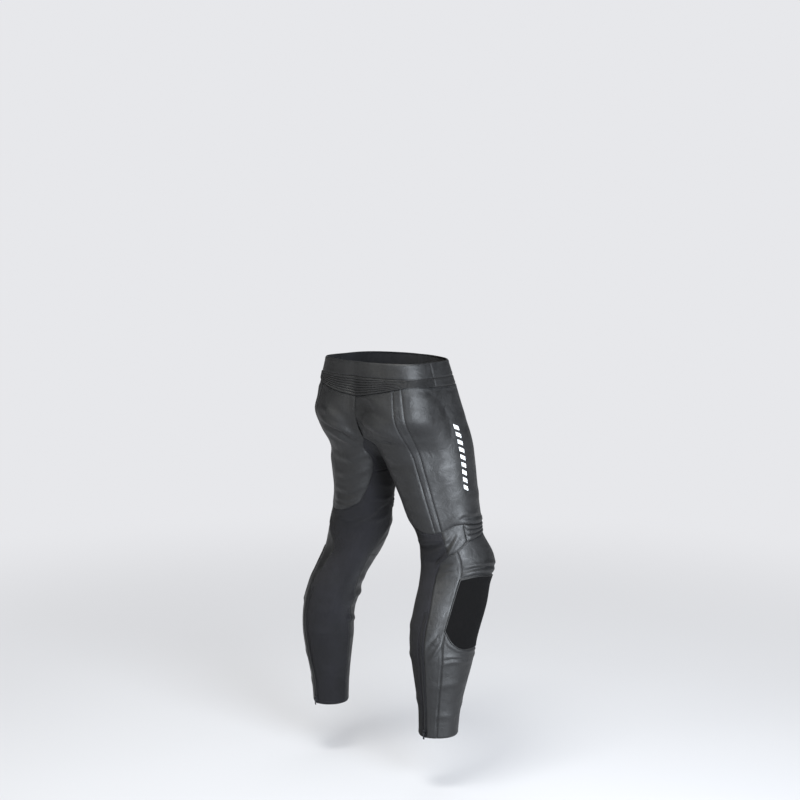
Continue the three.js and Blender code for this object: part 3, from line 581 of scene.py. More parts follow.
# %% [markdown]
# ## Finishes
# Race leather is pigment-finished cowhide: a fine pebble grain with a satin top coat. Its stretch parts are a
# woven aramid and elastane cloth, dull and ribbed. Each finish could be a photograph wrapped on, but here each
# is grown from noise at the real size of its grain, thread or loop, so it holds at any distance.

# %% One way to add a node, and colours in sRGB
def add(material, kind, settings=None, **links):
    """Adds a node, sets its properties or sockets, and links sockets to (node, output) pairs."""
    tree = material.node_tree
    node = tree.nodes.new(kind)
    for name, value in (settings or {}).items():
        if isinstance(name, str) and hasattr(node, name) and name not in node.inputs:
            setattr(node, name, value)
        else:
            node.inputs[name].default_value = value
    for name, (source, output) in links.items():
        key = name.replace("_", " ")
        key = int(name[1:]) if name[0] == "i" and name[1:].isdigit() else key
        tree.links.new(source.outputs[output], node.inputs[key])
    return node


def linear(hex_colour):
    """#rrggbb in sRGB to the linear colour that a shader reads."""
    out = []
    for k in (1, 3, 5):
        c = int(hex_colour[k:k + 2], 16) / 255
        out.append(c / 12.92 if c <= 0.04045 else ((c + 0.055) / 1.055)**2.4)
    return (*out, 1.0)


def new_material(name):
    material = bpy.data.materials.new(name)
    material.use_nodes = True
    material.node_tree.nodes.clear()
    return material


def finish(material, surface):
    out = add(material, "ShaderNodeOutputMaterial")
    material.node_tree.links.new(surface.outputs[0], out.inputs["Surface"])
    return material


def two_tones(material, factor, low, high, at=(0.35, 0.65)):
    """A ramp from one colour to another, driven by a (node, output) pair."""
    ramp = add(material, "ShaderNodeValToRGB", Fac=factor)
    for stop, place, colour in zip(ramp.color_ramp.elements, at, (low, high)):
        stop.position, stop.color = place, linear(colour)
    return ramp


# %% Cowhide, pigment-finished
def cowhide(name, low, high, roughness):
    """Aniline-dyed, pigment-coated hide: pebbles about 1.6 mm across, satin on top, dull in the creases, with painted
    shade along its seams.
    """
    m = new_material(name)
    place = add(m, "ShaderNodeTexCoord")
    pebble = add(m, "ShaderNodeTexVoronoi", {"Scale": 1 / 0.0018, "feature": "F1", "Randomness": 0.9},
                 Vector=(place, "Object"))
    grain = add(m, "ShaderNodeTexNoise", {"Scale": 1 / 0.005, "Detail": 4.0, "Roughness": 0.6},
                Vector=(place, "Object"))
    crease = add(m, "ShaderNodeTexNoise", {"Scale": 1 / 0.028, "Detail": 5.0, "Roughness": 0.55,
                                           "Distortion": 0.9}, Vector=(place, "Object"))
    belly = add(m, "ShaderNodeTexNoise", {"Scale": 1 / 0.11, "Detail": 3.0}, Vector=(place, "Object"))
    tone = two_tones(m, (belly, "Fac"), low, high, (0.3, 0.72))
    edge = add(m, "ShaderNodeAttribute", {"attribute_name": "seam_distance"})
    # painted shade: within about 2 mm of a panel's edge the leather's colour is darkened to about a tenth, standing in
    # for the seam valley's shadow
    painted_seam_shadow = add(m, "ShaderNodeMapRange", {"From Min": 0.2, "From Max": 2.0, "To Min": 0.12, "To Max": 1.0},
                Value=(edge, "Fac"))
    shade = add(m, "ShaderNodeMix", {"data_type": "RGBA", "blend_type": "MULTIPLY", 0: 1.0},
                i6=(tone, "Color"), i7=(painted_seam_shadow, "Result"))
    dull = add(m, "ShaderNodeMapRange", {"From Min": 0.3, "From Max": 0.7, "To Min": roughness - 0.12,
                                         "To Max": roughness + 0.1}, Value=(crease, "Fac"))
    slack = add(m, "ShaderNodeBump", {"Strength": 0.55, "Distance": 0.003}, Height=(crease, "Fac"))
    skin_height = add(m, "ShaderNodeMath", {"operation": "MULTIPLY_ADD", 1: 0.5}, i0=(grain, "Fac"),
                      i2=(pebble, "Distance"))
    bump = add(m, "ShaderNodeBump", {"Strength": 0.4, "Distance": 0.0004}, Height=(skin_height, "Value"),
               Normal=(slack, "Normal"))
    skin = add(m, "ShaderNodeBsdfPrincipled", {"IOR": 1.5, "Sheen Weight": 0.02, "Sheen Roughness": 0.45},
               Base_Color=(shade, "Result"), Roughness=(dull, "Result"), Normal=(bump, "Normal"))
    return finish(m, skin)


hide = cowhide("cowhide_pigment_finished", "#0c0c0d", "#161617", 0.56)
hide_band = cowhide("cowhide_band", "#0c0c0d", "#161617", 0.56)


# %% Stretch cloth, flesh side and loop cloth
def woven(name, low, high, thread, roughness):
    """Woven aramid and elastane: fine ribs along the leg, dull with a short nap."""
    m = new_material(name)
    place = add(m, "ShaderNodeUVMap", {"uv_map": "cut"})
    rib = add(m, "ShaderNodeTexWave", {"Scale": 1 / (thread * 10) / 6.2832 * 3.1416, "bands_direction": "X",
                                       "Distortion": 0.6, "Detail": 1.0}, Vector=(place, "UV"))
    pick = add(m, "ShaderNodeTexWave", {"Scale": 1 / (thread * 10) / 6.2832 * 3.1416, "bands_direction": "Y",
                                        "Distortion": 0.6}, Vector=(place, "UV"))
    weave = add(m, "ShaderNodeMath", {"operation": "MULTIPLY_ADD", 1: 0.6}, i0=(pick, "Fac"), i2=(rib, "Fac"))
    where = add(m, "ShaderNodeTexCoord")
    fade = add(m, "ShaderNodeTexNoise", {"Scale": 1 / 0.05, "Detail": 3.0}, Vector=(where, "Object"))
    tone = two_tones(m, (fade, "Fac"), low, high)
    bump = add(m, "ShaderNodeBump", {"Strength": 0.5, "Distance": 0.0003}, Height=(weave, "Value"))
    cloth = add(m, "ShaderNodeBsdfPrincipled", {"IOR": 1.45, "Roughness": roughness, "Specular IOR Level": 0.32,
                                                "Sheen Weight": 0.05,
                                                "Sheen Roughness": 0.6},
                Base_Color=(tone, "Color"), Normal=(bump, "Normal"))
    return finish(m, cloth)


stretch = woven("aramid_stretch_cloth", "#0a090d", "#121116", 0.0012, 0.82)
lining = woven("mesh_lining", "#141416", "#1e1e21", 0.0018, 0.85)


def looped(name):
    """Loop side of hook-and-loop tape: a low fuzzy pile about a millimetre deep."""
    m = new_material(name)
    place = add(m, "ShaderNodeTexCoord")
    fuzz = add(m, "ShaderNodeTexNoise", {"Scale": 1 / 0.0014, "Detail": 5.0, "Roughness": 0.75},
               Vector=(place, "Object"))
    tone = two_tones(m, (fuzz, "Fac"), "#030303", "#0f0e0f", (0.38, 0.66))
    bump = add(m, "ShaderNodeBump", {"Strength": 0.9, "Distance": 0.0009}, Height=(fuzz, "Fac"))
    pile = add(m, "ShaderNodeBsdfPrincipled", {"IOR": 1.45, "Roughness": 0.95, "Specular IOR Level": 0.12, "Sheen Weight": 0.01,
                                               "Sheen Roughness": 0.7},
               Base_Color=(tone, "Color"), Normal=(bump, "Normal"))
    return finish(m, pile)


loops = looped("hook_and_loop_pile")


# %% Thread, print and metal
def plain(name, low, high, roughness, metallic=0.0, grain=0.002, depth=0.00008, ior=1.5):
    """A finish with a slight unevenness of tone and surface."""
    m = new_material(name)
    place = add(m, "ShaderNodeTexCoord")
    noise = add(m, "ShaderNodeTexNoise", {"Scale": 1 / grain, "Detail": 3.0}, Vector=(place, "Object"))
    tone = two_tones(m, (noise, "Fac"), low, high)
    bump = add(m, "ShaderNodeBump", {"Strength": 0.5, "Distance": depth}, Height=(noise, "Fac"))
    body = add(m, "ShaderNodeBsdfPrincipled", {"Roughness": roughness, "Metallic": metallic, "IOR": ior},
               Base_Color=(tone, "Color"), Normal=(bump, "Normal"))
    return finish(m, body)


thread = plain("polyester_thread", "#1b1c1f", "#2a2b2f", 0.6, grain=0.0006)
white_print = plain("plastisol_transfer_print", "#c9cacb", "#dcdddd", 0.55, grain=0.004)
zinc = plain("die_cast_zinc_black_nickel", "#3a3b3e", "#4a4b4e", 0.34, 1.0, 0.003, 0.00003)
coil = plain("nylon_zip_coil", "#0c0c0e", "#141416", 0.45, 0.0, 0.002, 0.00003)
print(len(bpy.data.materials), "finishes")

# %% [markdown]
# ## The panels of each leg
# A leg is cut in twelve pieces: seat, side strip, thigh front, knee accordion, wedge, knee cap, shin, outer calf,
# the long inner stretch cloth, the zip, and the front of the yoke and band. They could be cut out of a finished
# tube, but laying each between its own seams is how a tailor would check the pattern.

# %% Lay the leg panels
RIB_HEIGHT, LUMBAR_RIBS, KNEE_RIBS = 2.6, 7, 3


def ribs(count, height):
    """Padded ribs across a panel: round tops with a stitched valley between each two."""
    def rise(v, u):
        wave = np.abs(np.sin(v * math.pi * count))**0.7
        return height * wave * soft_step(u, 0, 0.03) * (1 - soft_step(u, 0.97, 1))
    return rise


def reverse(line):
    if isinstance(line, tuple):
        return line[0][::-1], [1 - c for c in line[1]][::-1]
    return line[::-1]


panels = {}
for mark, side in SIDES.items():
    s = seams[mark]
    p = {}
    p["seat"] = lay(mark, s["yoke seat"], reverse(s["seat bottom"]),
                    joined(s["back line"], s["gusset back"], s["seat inner"]), s["strip back"])
    p["side_strip"] = lay(mark, s["yoke strip"], reverse(s["strip bottom"]), s["strip back"], s["strip front"])
    p["thigh_front"] = lay(mark, joined(s["yoke hip"], s["yoke front"]), joined(s["wedge top"], s["knee top"]),
                           s["strip front"], joined(s["front line"], s["gusset front"], s["thigh inner"]))
    p["knee_accordion"] = lay(mark, s["knee top"], s["knee bottom"], s["knee outer"], s["knee inner"], rows=25)
    p["knee_wedge"] = lay(mark, s["wedge top"], joined(s["wedge foot"], s["cap shoulder"]), s["wedge back"],
                          s["knee outer"])
    p["knee_cap"] = lay(mark, joined(s["cap shoulder"], s["knee bottom"]), s["cap bottom"], s["cap outer"],
                        s["cap inner"])
    p["shin"] = lay(mark, s["cap bottom"], s["hem shin"], s["shin outer"], s["shin inner"], step=3.2)
    p["calf_outer"] = lay(mark, joined(s["calf top"], s["wedge foot"]), s["hem calf"],
                          joined(s["calf back"], s["zip outer"]), joined(s["cap outer"], s["shin outer"]))
    inner = join(turned(s["knee inner"]), turned(s["cap inner"]), turned(s["shin inner"]))
    p["inner_upper"] = lay(mark, s["inner top"], s["inner middle"], s["seat inner"], turned(s["thigh inner"]))
    inner_top = joined(s["strip bottom"], s["seat bottom"], s["inner middle"])
    u = spacing(inner_top, s["hem inner"])
    meet = corners_of(inner_top)[-1]
    u = np.r_[u[u < meet - 1e-9], meet + (1 - meet) * p["inner_upper"]["u"]]
    p["inner_lower"] = lay(mark, inner_top, s["hem inner"],
                           joined(s["wedge back"], s["calf top"][::-1], s["calf back"], s["zip top"],
                                  s["zip inner"]), inner, u=u)
    p["calf_zip"] = lay(mark, s["zip top"], s["hem zip"], s["zip outer"], s["zip inner"])
    waist = seam([[SIDE_SEAM, 0], [float(centre_turn(side, 0, -1)), 0]])
    foot = seam([[SIDE_SEAM, -BAND_DEPTH], [float(centre_turn(side, -BAND_DEPTH, -1)), -BAND_DEPTH]])
    p["waistband_front"] = lay(mark, waist, foot, seam([[SIDE_SEAM, 0], [SIDE_SEAM, -BAND_DEPTH]]),
                               on_centre(side, -1, 0, -BAND_DEPTH))
    p["yoke_front"] = lay(mark, foot, s["yoke front"], seam([[SIDE_SEAM, -BAND_DEPTH], [SIDE_SEAM, -59]]),
                          on_centre(side, -1, -BAND_DEPTH, YOKE_FRONT))
    back_waist = seam([[float(centre_turn(side, 0, 1)), 0], [SIDE_SEAM, 0]])
    back_foot = seam([[float(centre_turn(side, -BAND_DEPTH, 1)), -BAND_DEPTH], [SIDE_SEAM, -BAND_DEPTH]])
    p["band_back"] = lay(mark, back_waist, back_foot, on_centre(side, 1, 0, -BAND_DEPTH),
                         seam([[SIDE_SEAM, 0], [SIDE_SEAM, -BAND_DEPTH]]))
    p["lumbar"] = lay(mark, back_foot, joined(s["yoke seat"], s["yoke strip"], s["yoke hip"]),
                      on_centre(side, 1, -BAND_DEPTH, YOKE_BACK), seam([[SIDE_SEAM, -BAND_DEPTH], [SIDE_SEAM, -59]]),
                      rows=57)
    panels[mark] = p
print("laid", sum(len(p) for p in panels.values()), "fields")

# %% Close them into cloth
WALLS = {"seat": LEATHER, "side_strip": LEATHER, "thigh_front": LEATHER, "knee_accordion": LEATHER,
         "knee_wedge": LEATHER, "knee_cap": LEATHER, "shin": LEATHER, "calf_outer": LEATHER,
         "calf_zip": TAPE, "waistband_front": BAND, "yoke_front": LEATHER}
for mark in SIDES:
    p = panels[mark]
    for name, wall in WALLS.items():
        rise = ribs(KNEE_RIBS, 3.0) if name == "knee_accordion" else None
        roll = 0.0 if name in ("knee_accordion", "calf_zip") else 0.9
        mesh, area = cloth_mesh(f"{name}_panel_{mark}", [p[name]], wall, rise=rise, roll=roll)
        outside = stretch if name == "calf_zip" else hide_band if name == "waistband_front" else hide
        finish_panel(mesh, area, [outside, lining], "stretch" if name == "calf_zip" else "leather",
                     f"{name}_{mark}", [p[name]])
    fields = [p["inner_upper"], p["inner_lower"]]
    mesh, area = cloth_mesh(f"inner_stretch_panel_{mark}", fields, STRETCH)
    finish_panel(mesh, area, [stretch, lining], "stretch", f"inner_stretch_{mark}", fields)

# %% [markdown]
# ## Pieces across the centre line
# The ribbed lumbar panel and the back of the waistband run from hip to hip. The ribs are padded tucks: they let
# the back lengthen when the rider leans over the tank. They could be a bump texture, but the light has to catch
# each rib, so each is raised in the mesh.

# %% Waistband back and lumbar accordion
def across(right, left):
    """Two legs' fields, joined at the centre line into one."""
    out = {k: np.concatenate([right[k][:, ::-1], left[k][:, 1:]], 1) for k in ("point", "normal", "lift")}
    flat_right = right["place"][:, ::-1] * [-1, 1] + [2 * right["place"][0, 0, 0], 0]
    out["place"] = np.concatenate([flat_right, left["place"][:, 1:]], 1)
    out["u"] = np.r_[(1 - right["u"][::-1]) / 2, 0.5 + left["u"][1:] / 2]
    out["v"] = right["v"]
    return out


band = across(panels["r"]["band_back"], panels["l"]["band_back"])
mesh, area = cloth_mesh("waistband_back_panel", [band], BAND)
finish_panel(mesh, area, [hide_band, lining], "leather", "waistband_back", [band])
lumbar = across(panels["r"]["lumbar"], panels["l"]["lumbar"])
mesh, area = cloth_mesh("lumbar_accordion_panel", [lumbar], LEATHER, rise=ribs(LUMBAR_RIBS, 2.4), roll=0.0)
finish_panel(mesh, area, [hide, lining], "leather", "lumbar_accordion", [lumbar])


# %% Crotch gusset
def from_between(start, direction, reach=150.0):
    """First places where rays that start outside the form, between the thighs, meet it."""
    at = np.zeros(start.shape[:-1])
    found = np.zeros(at.shape, bool)
    for _ in range(int(reach / 2)):
        inside = form_distance(start + direction * at[..., None]) < 0
        found |= inside
        at = np.where(found, at, at + 2)
    low, high = np.maximum(at - 2, 0), at
    for _ in range(20):
        mid = (low + high) / 2
        inside = form_distance(start + direction * mid[..., None]) < 0
        low, high = np.where(inside, low, mid), np.where(inside, mid, high)
    return start + direction * high[..., None]


def gusset_field(rows=40, half=36):
    """The stretch gusset under the crotch, as rays fanned upward from between the thighs."""
    def edge(name, way):
        right, left = line_at(seams["r"][name], np.linspace(0, 1, half + 1)), \
            line_at(seams["l"][name], np.linspace(0, 1, half + 1))
        a, b = leg_point(RIGHT, right[:, 0], right[:, 1]), leg_point(LEFT, left[:, 0], left[:, 1])
        return np.vstack([a[::-1], b[1:]])
    back, front = edge("gusset back", 1), edge("gusset front", -1)
    at = np.linspace(0, 1, rows + 1)
    top = {m: line_at(seams[m]["inner top"], at) for m in SIDES}
    right = leg_point(RIGHT, top["r"][:, 0], top["r"][:, 1])
    left = leg_point(LEFT, top["l"][:, 0], top["l"][:, 1])
    middle = (right + left) / 2
    columns = 2 * half

    def lean_to(tip, k):
        rise = tip - middle[k]
        return math.atan2(rise[1], rise[2])
    lean = np.interp(at, [0, 1], [lean_to(back[half], 0), lean_to(front[half], rows)])
    fan = math.pi * (np.arange(columns + 1) / columns - 0.5)
    aside = np.where((np.arange(columns + 1) < half)[None, :, None], (right - middle)[:, None], (left - middle)[:, None])
    aside = aside / np.linalg.norm(aside, axis=-1, keepdims=True)
    up = np.stack([0 * lean, np.sin(lean), np.cos(lean)], -1)[:, None]
    fan = np.tile(fan, (rows + 1, 1))
    for _ in range(3):
        direction = up * np.cos(fan)[..., None] + aside * np.abs(np.sin(fan))[..., None]
        direction /= np.linalg.norm(direction, axis=-1, keepdims=True)
        point = from_between(np.broadcast_to(middle[:, None], direction.shape), direction)
        for row, line in zip(fan, point):
            for part in (slice(0, half + 1), slice(half, columns + 1)):
                run = np.r_[0, np.cumsum(np.linalg.norm(np.diff(line[part], axis=0), axis=1))]
                row[part] = np.interp(np.linspace(0, run[-1], half + 1), run, row[part].copy())
    point[0], point[-1], point[:, 0], point[:, -1] = back, front, right, left
    place = np.stack(np.broadcast_arrays(np.linspace(-60, 60, columns + 1)[None, :],
                                         -np.linspace(0, 120, rows + 1)[:, None]), -1)
    return {"point": point, "normal": form_normal(point), "lift": np.zeros(point.shape[:2]), "place": place,
            "u": np.linspace(0, 1, columns + 1), "v": at}


gusset = gusset_field()
mesh, area = cloth_mesh("crotch_gusset_panel", [gusset], STRETCH)
finish_panel(mesh, area, [stretch, lining], "stretch", "crotch_gusset", [gusset])

# %% [markdown]
# ## Pieces laid on the leather
# A sheet of loop cloth is sewn over each shin for the knee slider. A printed row of slanted dashes runs down the
# right thigh. The fly and the waist tab lap over the front. Each could be painted on its panel, but each has
# its own thickness, and its edge throws the small shadow that tells a sewn piece from a painted one.

# %% Loop patches for the knee sliders
PATCH = {
    "top": [[130, -535], [97, -530], [60, -536], [8, -549]], "foot": [[139, -651], [117, -682], [93, -698],
                                                                        [60, -700], [24, -697], [8, -684]],
    "outer": [[130, -535], [135, -590], [139, -651]], "inner": [[8, -549], [8, -684]],
}
for mark in SIDES:
    patch = lay(mark, seam(PATCH["top"]), seam(PATCH["foot"]), seam(PATCH["outer"]), seam(PATCH["inner"]), step=3.5)
    mesh, area = cloth_mesh(f"knee_slider_loop_{mark}", [patch], LOOP, base=SEAM_GAP + LOOP, roll=0.5)
    finish_panel(mesh, area, [loops, lining], "loop", f"knee_slider_patch_{mark}", [patch])
    panels[mark]["patch"] = patch


# %% Printed dashes on the right thigh
def placed(mark, turn, level, height):
    """Points at a height above the leather's outer face."""
    turn, level = np.asarray(turn, float), np.asarray(level, float)
    p = leg_point(SIDES[mark], turn, level)
    lift = fold_height(mark, turn, level) + padding_height(turn, level)
    return p + form_normal(p) * (height + lift)[..., None]


def solid_piece(name, points, faces, material, node=None, body="trousers", smooth=False):
    mesh = bpy.data.meshes.new(name)
    mesh.from_pydata((np.asarray(points) * MM).tolist(), [], faces)
    mesh.validate()
    mesh.materials.append(material)
    if smooth:
        mesh.polygons.foreach_set("use_smooth", np.ones(len(mesh.polygons), dtype=bool))
    piece = bpy.data.objects.new(name, mesh)
    bpy.context.scene.collection.objects.link(piece)
    if node:
        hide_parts(node)
    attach(piece, body)
    return piece


MARK_MIDDLE = seam([[75, -153], [81, -240], [87, -325]])
points, faces = [], []
DASHES, LEAN = 9, 7.0
for k in range(DASHES):
    start = 0.02 + k * 0.98 / DASHES
    v = np.linspace(start, start + 0.062, 6)
    u = np.linspace(-1, 1, 8)
    middle = line_at(MARK_MIDDLE, v)
    turn = middle[:, 0][:, None] + u[None] * 5.6 / PER_DEGREE
    level = middle[:, 1][:, None] + u[None] * LEAN / 2
    outer = placed("r", turn, level, 0.35)
    under = placed("r", turn, level, 0.12)
    base = len(points)
    n, m = turn.shape
    points += [*outer.reshape(-1, 3), *under.reshape(-1, 3)]
    grid = base + np.arange(n * m).reshape(n, m)
    for i in range(n - 1):
        for j in range(m - 1):
            a, b, c, d = grid[i, j], grid[i, j + 1], grid[i + 1, j + 1], grid[i + 1, j]
            faces += [(a, b, c, d), (d + n * m, c + n * m, b + n * m, a + n * m)]
    loop = [*grid[0, :], *grid[1:, -1], *grid[-1, -2::-1], *grid[-2:0:-1, 0]]
    for a, b in zip(loop, loop[1:] + loop[:1]):
        faces.append((a, a + n * m, b + n * m, b))
solid_piece("thigh_dashes", points, [tuple(int(v) for v in f) for f in faces], white_print, "thigh_mark")

# %% Fly placket and waist tab
side = LEFT
fly = [float(centre_turn(side, level, -1)) for level in (-62, -110, -150, -186)]
levels = (-62, -110, -150, -186)
inner_edge = seam([[t + 0.6, l] for t, l in zip(fly, levels)])
outer_edge = seam([[fly[0] + 17, -62], [fly[1] + 17, -110], [fly[2] + 15, -150], [fly[3] + 3, -186]])
placket = lay("l", seam([outer_edge[0], inner_edge[0]]), seam([outer_edge[-1], inner_edge[-1]]), outer_edge, inner_edge)
mesh, area = cloth_mesh("fly_placket_panel", [placket], LEATHER, base=SEAM_GAP + LEATHER, roll=0.3)
finish_panel(mesh, area, [hide, lining], "leather", "fly_placket", [placket])

# %% Waist tab and its snap
tab_left = float(centre_turn(LEFT, -19, -1))
tab_right = float(centre_turn(RIGHT, -19, -1))


def tab_half(mark, reach, rounded):
    centre = [float(centre_turn(SIDES[mark], level, -1)) for level in (-5, -33)]
    top = seam([[centre[0] + reach, -5], [centre[0], -5]])
    foot = seam([[centre[1] + reach, -33], [centre[1], -33]])
    end = seam([[centre[0] + reach, -5], [centre[0] + reach + rounded, -19], [centre[1] + reach, -33]])
    return lay(mark, top, foot, end, on_centre(SIDES[mark], -1, -5, -33), step=4)


left_half, right_half = tab_half("l", 27, 6), tab_half("r", 11, 0)
rows_match = min(len(left_half["v"]), len(right_half["v"]))
for half in (left_half, right_half):
    keep = np.round(np.linspace(0, len(half["v"]) - 1, rows_match)).astype(int)
    half.update({k: half[k][keep] for k in ("point", "normal", "lift", "place")}, v=half["v"][keep])
tab = {k: np.concatenate([left_half[k], right_half[k][:, ::-1][:, 1:]], 1) for k in ("point", "normal", "lift", "place")}
tab["u"] = np.r_[left_half["u"] / 2, 0.5 + (1 - right_half["u"][::-1][1:]) / 2]
tab["v"] = left_half["v"]
mesh, area = cloth_mesh("waist_tab_panel", [tab], LEATHER, base=0.8 + LEATHER, roll=0.3)
finish_panel(mesh, area, [hide_band, lining], "leather", "waist_tab", [tab])

# %% [markdown]
# ## Thread
# The seams are lapped and sewn twice: one row beside the edge, one about 6 mm away. Thread lies on the leather
# as short raised stitches. It could be a dotted texture, but a row of small meshes sits in the light the way
# thread does, and turns every corner with its seam.

# %% Stitches along the seams
STITCH, PITCH, THREAD = 2.9, 3.9, 0.34


def offset_line(line, distance):
    """A line beside a seam, in millimetres to the left of its run."""
    flat = np.asarray(line) * [PER_DEGREE, 1]
    run = np.gradient(flat, axis=0)
    run /= np.linalg.norm(run, axis=1, keepdims=True) + 1e-9
    side_way = np.stack([-run[:, 1], run[:, 0]], -1)
    return (flat + side_way * distance) / [PER_DEGREE, 1]


def stitch_rows(mark, lines, height=0.25, rise=None):
    """Small tapered stitches laid end to end along lines."""
    all_points, all_faces = [], []
    ring = np.array([[0.0, 1.0], [0.9, 0.1], [-0.9, 0.1]]) * THREAD
    for line in lines:
        dense = line_at(line, np.linspace(0, 1, 400))
        place = placed(mark, dense[:, 0], dense[:, 1], 0.0)
        run = np.r_[0, np.cumsum(np.linalg.norm(np.diff(place, axis=0), axis=1))]
        count = int(run[-1] / PITCH)
        if count < 2:
            continue
        starts = (np.arange(count) + 0.5) * run[-1] / count - STITCH / 2
        stations = starts[:, None] + np.linspace(0, STITCH, 4)[None]
        turn = np.interp(stations, run, dense[:, 0])
        level = np.interp(stations, run, dense[:, 1])
        centre = placed(mark, turn, level, height)
        normal = form_normal(leg_point(SIDES[mark], turn, level))
        along = np.gradient(centre, axis=1)
        along /= np.linalg.norm(along, axis=-1, keepdims=True) + 1e-9
        aside = np.cross(along, normal)
        size = np.array([0.25, 1.0, 1.0, 0.25])[None, :, None, None]
        sink = np.array([-0.35, 0.0, 0.0, -0.35])[None, :, None, None]
        rings = (centre[:, :, None] + size * (ring[None, None, :, :1] * aside[:, :, None]
                 + ring[None, None, :, 1:] * normal[:, :, None]) + sink * normal[:, :, None])
        base = len(all_points)
        all_points += rings.reshape(-1, 3).tolist()
        for k in range(count):
            o = base + k * 12
            for r in range(3):
                for q in range(3):
                    a, b = o + r * 3 + q, o + r * 3 + (q + 1) % 3
                    all_faces.append((a, a + 3, b + 3, b))
            all_faces += [(o, o + 1, o + 2), (o + 11, o + 10, o + 9)]
    return all_points, all_faces


def sew(name, mark, lines, material=None, **options):
    points, faces = stitch_rows(mark, lines, **options)
    piece = solid_piece(name, points, faces, material or thread, smooth=True)
    print(name, "has", len(points) // 12, "stitches")
    return piece


for mark, side in SIDES.items():
    s = seams[mark]
    yoke = join(s["yoke seat"], s["yoke strip"], s["yoke hip"], s["yoke front"])
    rows = []
    rows += [offset_line(yoke, d) for d in (2.4, 7.5)]
    rows += [offset_line(s["strip back"], d) for d in (2.2, -2.2)]
    rows += [offset_line(s["strip front"], d) for d in (2.2, -2.2, 7.5)]
    rows += [offset_line(join(s["gusset back"], s["seat inner"]), d) for d in (2.4,)]
    rows += [offset_line(s["seat bottom"], d) for d in (-2.4, -7.0)]
    rows += [offset_line(join(s["wedge top"], s["knee top"]), d) for d in (-2.4, -6.5)]
    rows += [offset_line(join(s["cap shoulder"], s["knee bottom"]), d) for d in (2.4,)]
    rows += [offset_line(s["wedge back"], d) for d in (2.4,)]
    rows += [offset_line(join(s["calf top"], s["wedge foot"]), d) for d in (2.4, 6.5)]
    rows += [offset_line(join(s["cap outer"], s["shin outer"]), d) for d in (2.4, -2.4)]
    rows += [offset_line(s["cap bottom"], d) for d in (-2.4,)]
    rows += [offset_line(join(s["cap inner"], s["shin inner"]), d) for d in (2.4,)]
    rows += [offset_line(join(s["calf back"], s["zip outer"]), d) for d in (2.4, 6.0)]
    rows += [offset_line(s["zip inner"], d) for d in (2.4,)]
    rows += [seam([[172, level], [193, level]]) for level in (-606, -609.5)]
    rows += [offset_line(s["back line"], d) for d in (2.4,)]
    rows += [offset_line(s[edge], d) for edge in ("hem shin", "hem calf") for d in (-9.0,)]
    rows += [offset_line(s["hem inner"], 9.0)]
    around = [[float(centre_turn(side, -19, way)), 0] for way in (1, -1)]
    rows += [seam([[around[0][0], depth], [SIDE_SEAM, depth], [around[1][0], depth]]) for depth in (-3.5, -34.5)]
    sew(f"seam_stitches_{mark}", mark, rows)

# %% Patch rims and their stitches
def tube(points, normals, radius, sides=8):
    """A closed cord along a ring of points."""
    along = np.roll(points, -1, 0) - np.roll(points, 1, 0)
    along /= np.linalg.norm(along, axis=1, keepdims=True)
    aside = np.cross(along, normals)
    angle = 2 * math.pi * np.arange(sides) / sides
    rings = points[:, None] + radius * (np.cos(angle)[None, :, None] * aside[:, None]
                                        + np.sin(angle)[None, :, None] * normals[:, None])
    n = len(points)
    faces = [(i * sides + k, ((i + 1) % n) * sides + k, ((i + 1) % n) * sides + (k + 1) % sides,
              i * sides + (k + 1) % sides) for i in range(n) for k in range(sides)]
    return rings.reshape(-1, 3), faces


for mark in SIDES:
    outline = join(seam(PATCH["top"]), seam(PATCH["inner"]), seam(PATCH["foot"])[::-1], seam(PATCH["outer"])[::-1])
    ring_line = line_at(outline, np.linspace(0, 1, 220, endpoint=False))
    centre = placed(mark, ring_line[:, 0], ring_line[:, 1], 1.2)
    points, faces = tube(centre, form_normal(centre), 1.7)
    solid_piece(f"patch_rim_{mark}", points, faces, hide, smooth=True)

# %% [markdown]
# ## Calf zips
# Each leg opens from the hem to the calf with a coil zip under a leather edge, closed here. Its two rows of teeth
# mesh down the middle of the tape. A texture would do from afar, but teeth are what a zip is, so each is
# a small bar in the mesh.

# %% Zip teeth
TOOTH_PITCH = 1.5
for mark in SIDES:
    points, faces = [], []
    level = np.arange(-616, HEM + 6, -TOOTH_PITCH)
    middle = np.interp(-level, [611, 739, 925], [178.5, 178, 178])
    for way in (-1, 1):
        turn = middle + way * 0.55
        shift = level - (TOOTH_PITCH / 2 if way > 0 else 0)
        centre = placed(mark, turn, shift, 0.35)
        normal = form_normal(centre)
        along = np.gradient(centre, axis=0)
        along /= np.linalg.norm(along, axis=1, keepdims=True)
        aside = np.cross(along, normal)
        corners = np.array([[x, y, z] for z in (-0.45, 0.45) for y in (-0.42, 0.42) for x in (-1.25, 1.25)])
        box = (centre[:, None] + corners[None, :, :1] * aside[:, None] + corners[None, :, 1:2] * along[:, None]
               + corners[None, :, 2:] * normal[:, None])
        for k in range(len(level)):
            o = len(points)
            points += box[k].tolist()
            faces += [(o, o + 2, o + 3, o + 1), (o + 4, o + 5, o + 7, o + 6), (o, o + 1, o + 5, o + 4),
                      (o + 2, o + 6, o + 7, o + 3), (o, o + 4, o + 6, o + 2), (o + 1, o + 3, o + 7, o + 5)]
    solid_piece(f"zip_teeth_{mark}", points, faces, coil)

for name in ("zip_slider_r", "zip_slider_l", "zip_pull_r", "zip_pull_l", "waist_snap"):
    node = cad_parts[name]
    for slot_number in range(len(node.material_slots)):
        node.material_slots[slot_number].link = "OBJECT"
        node.material_slots[slot_number].material = zinc

# %% [markdown]
# ## Studio
# The trousers stand on nothing: they hold a wearer's shape above a pale floor, as a shop's hollow figure shows
# them. Large soft lights wrap dark leather in broad pale reflections. Small hard lamps would show more grain, but
# satin leather reads by the wide soft glow along its edges.

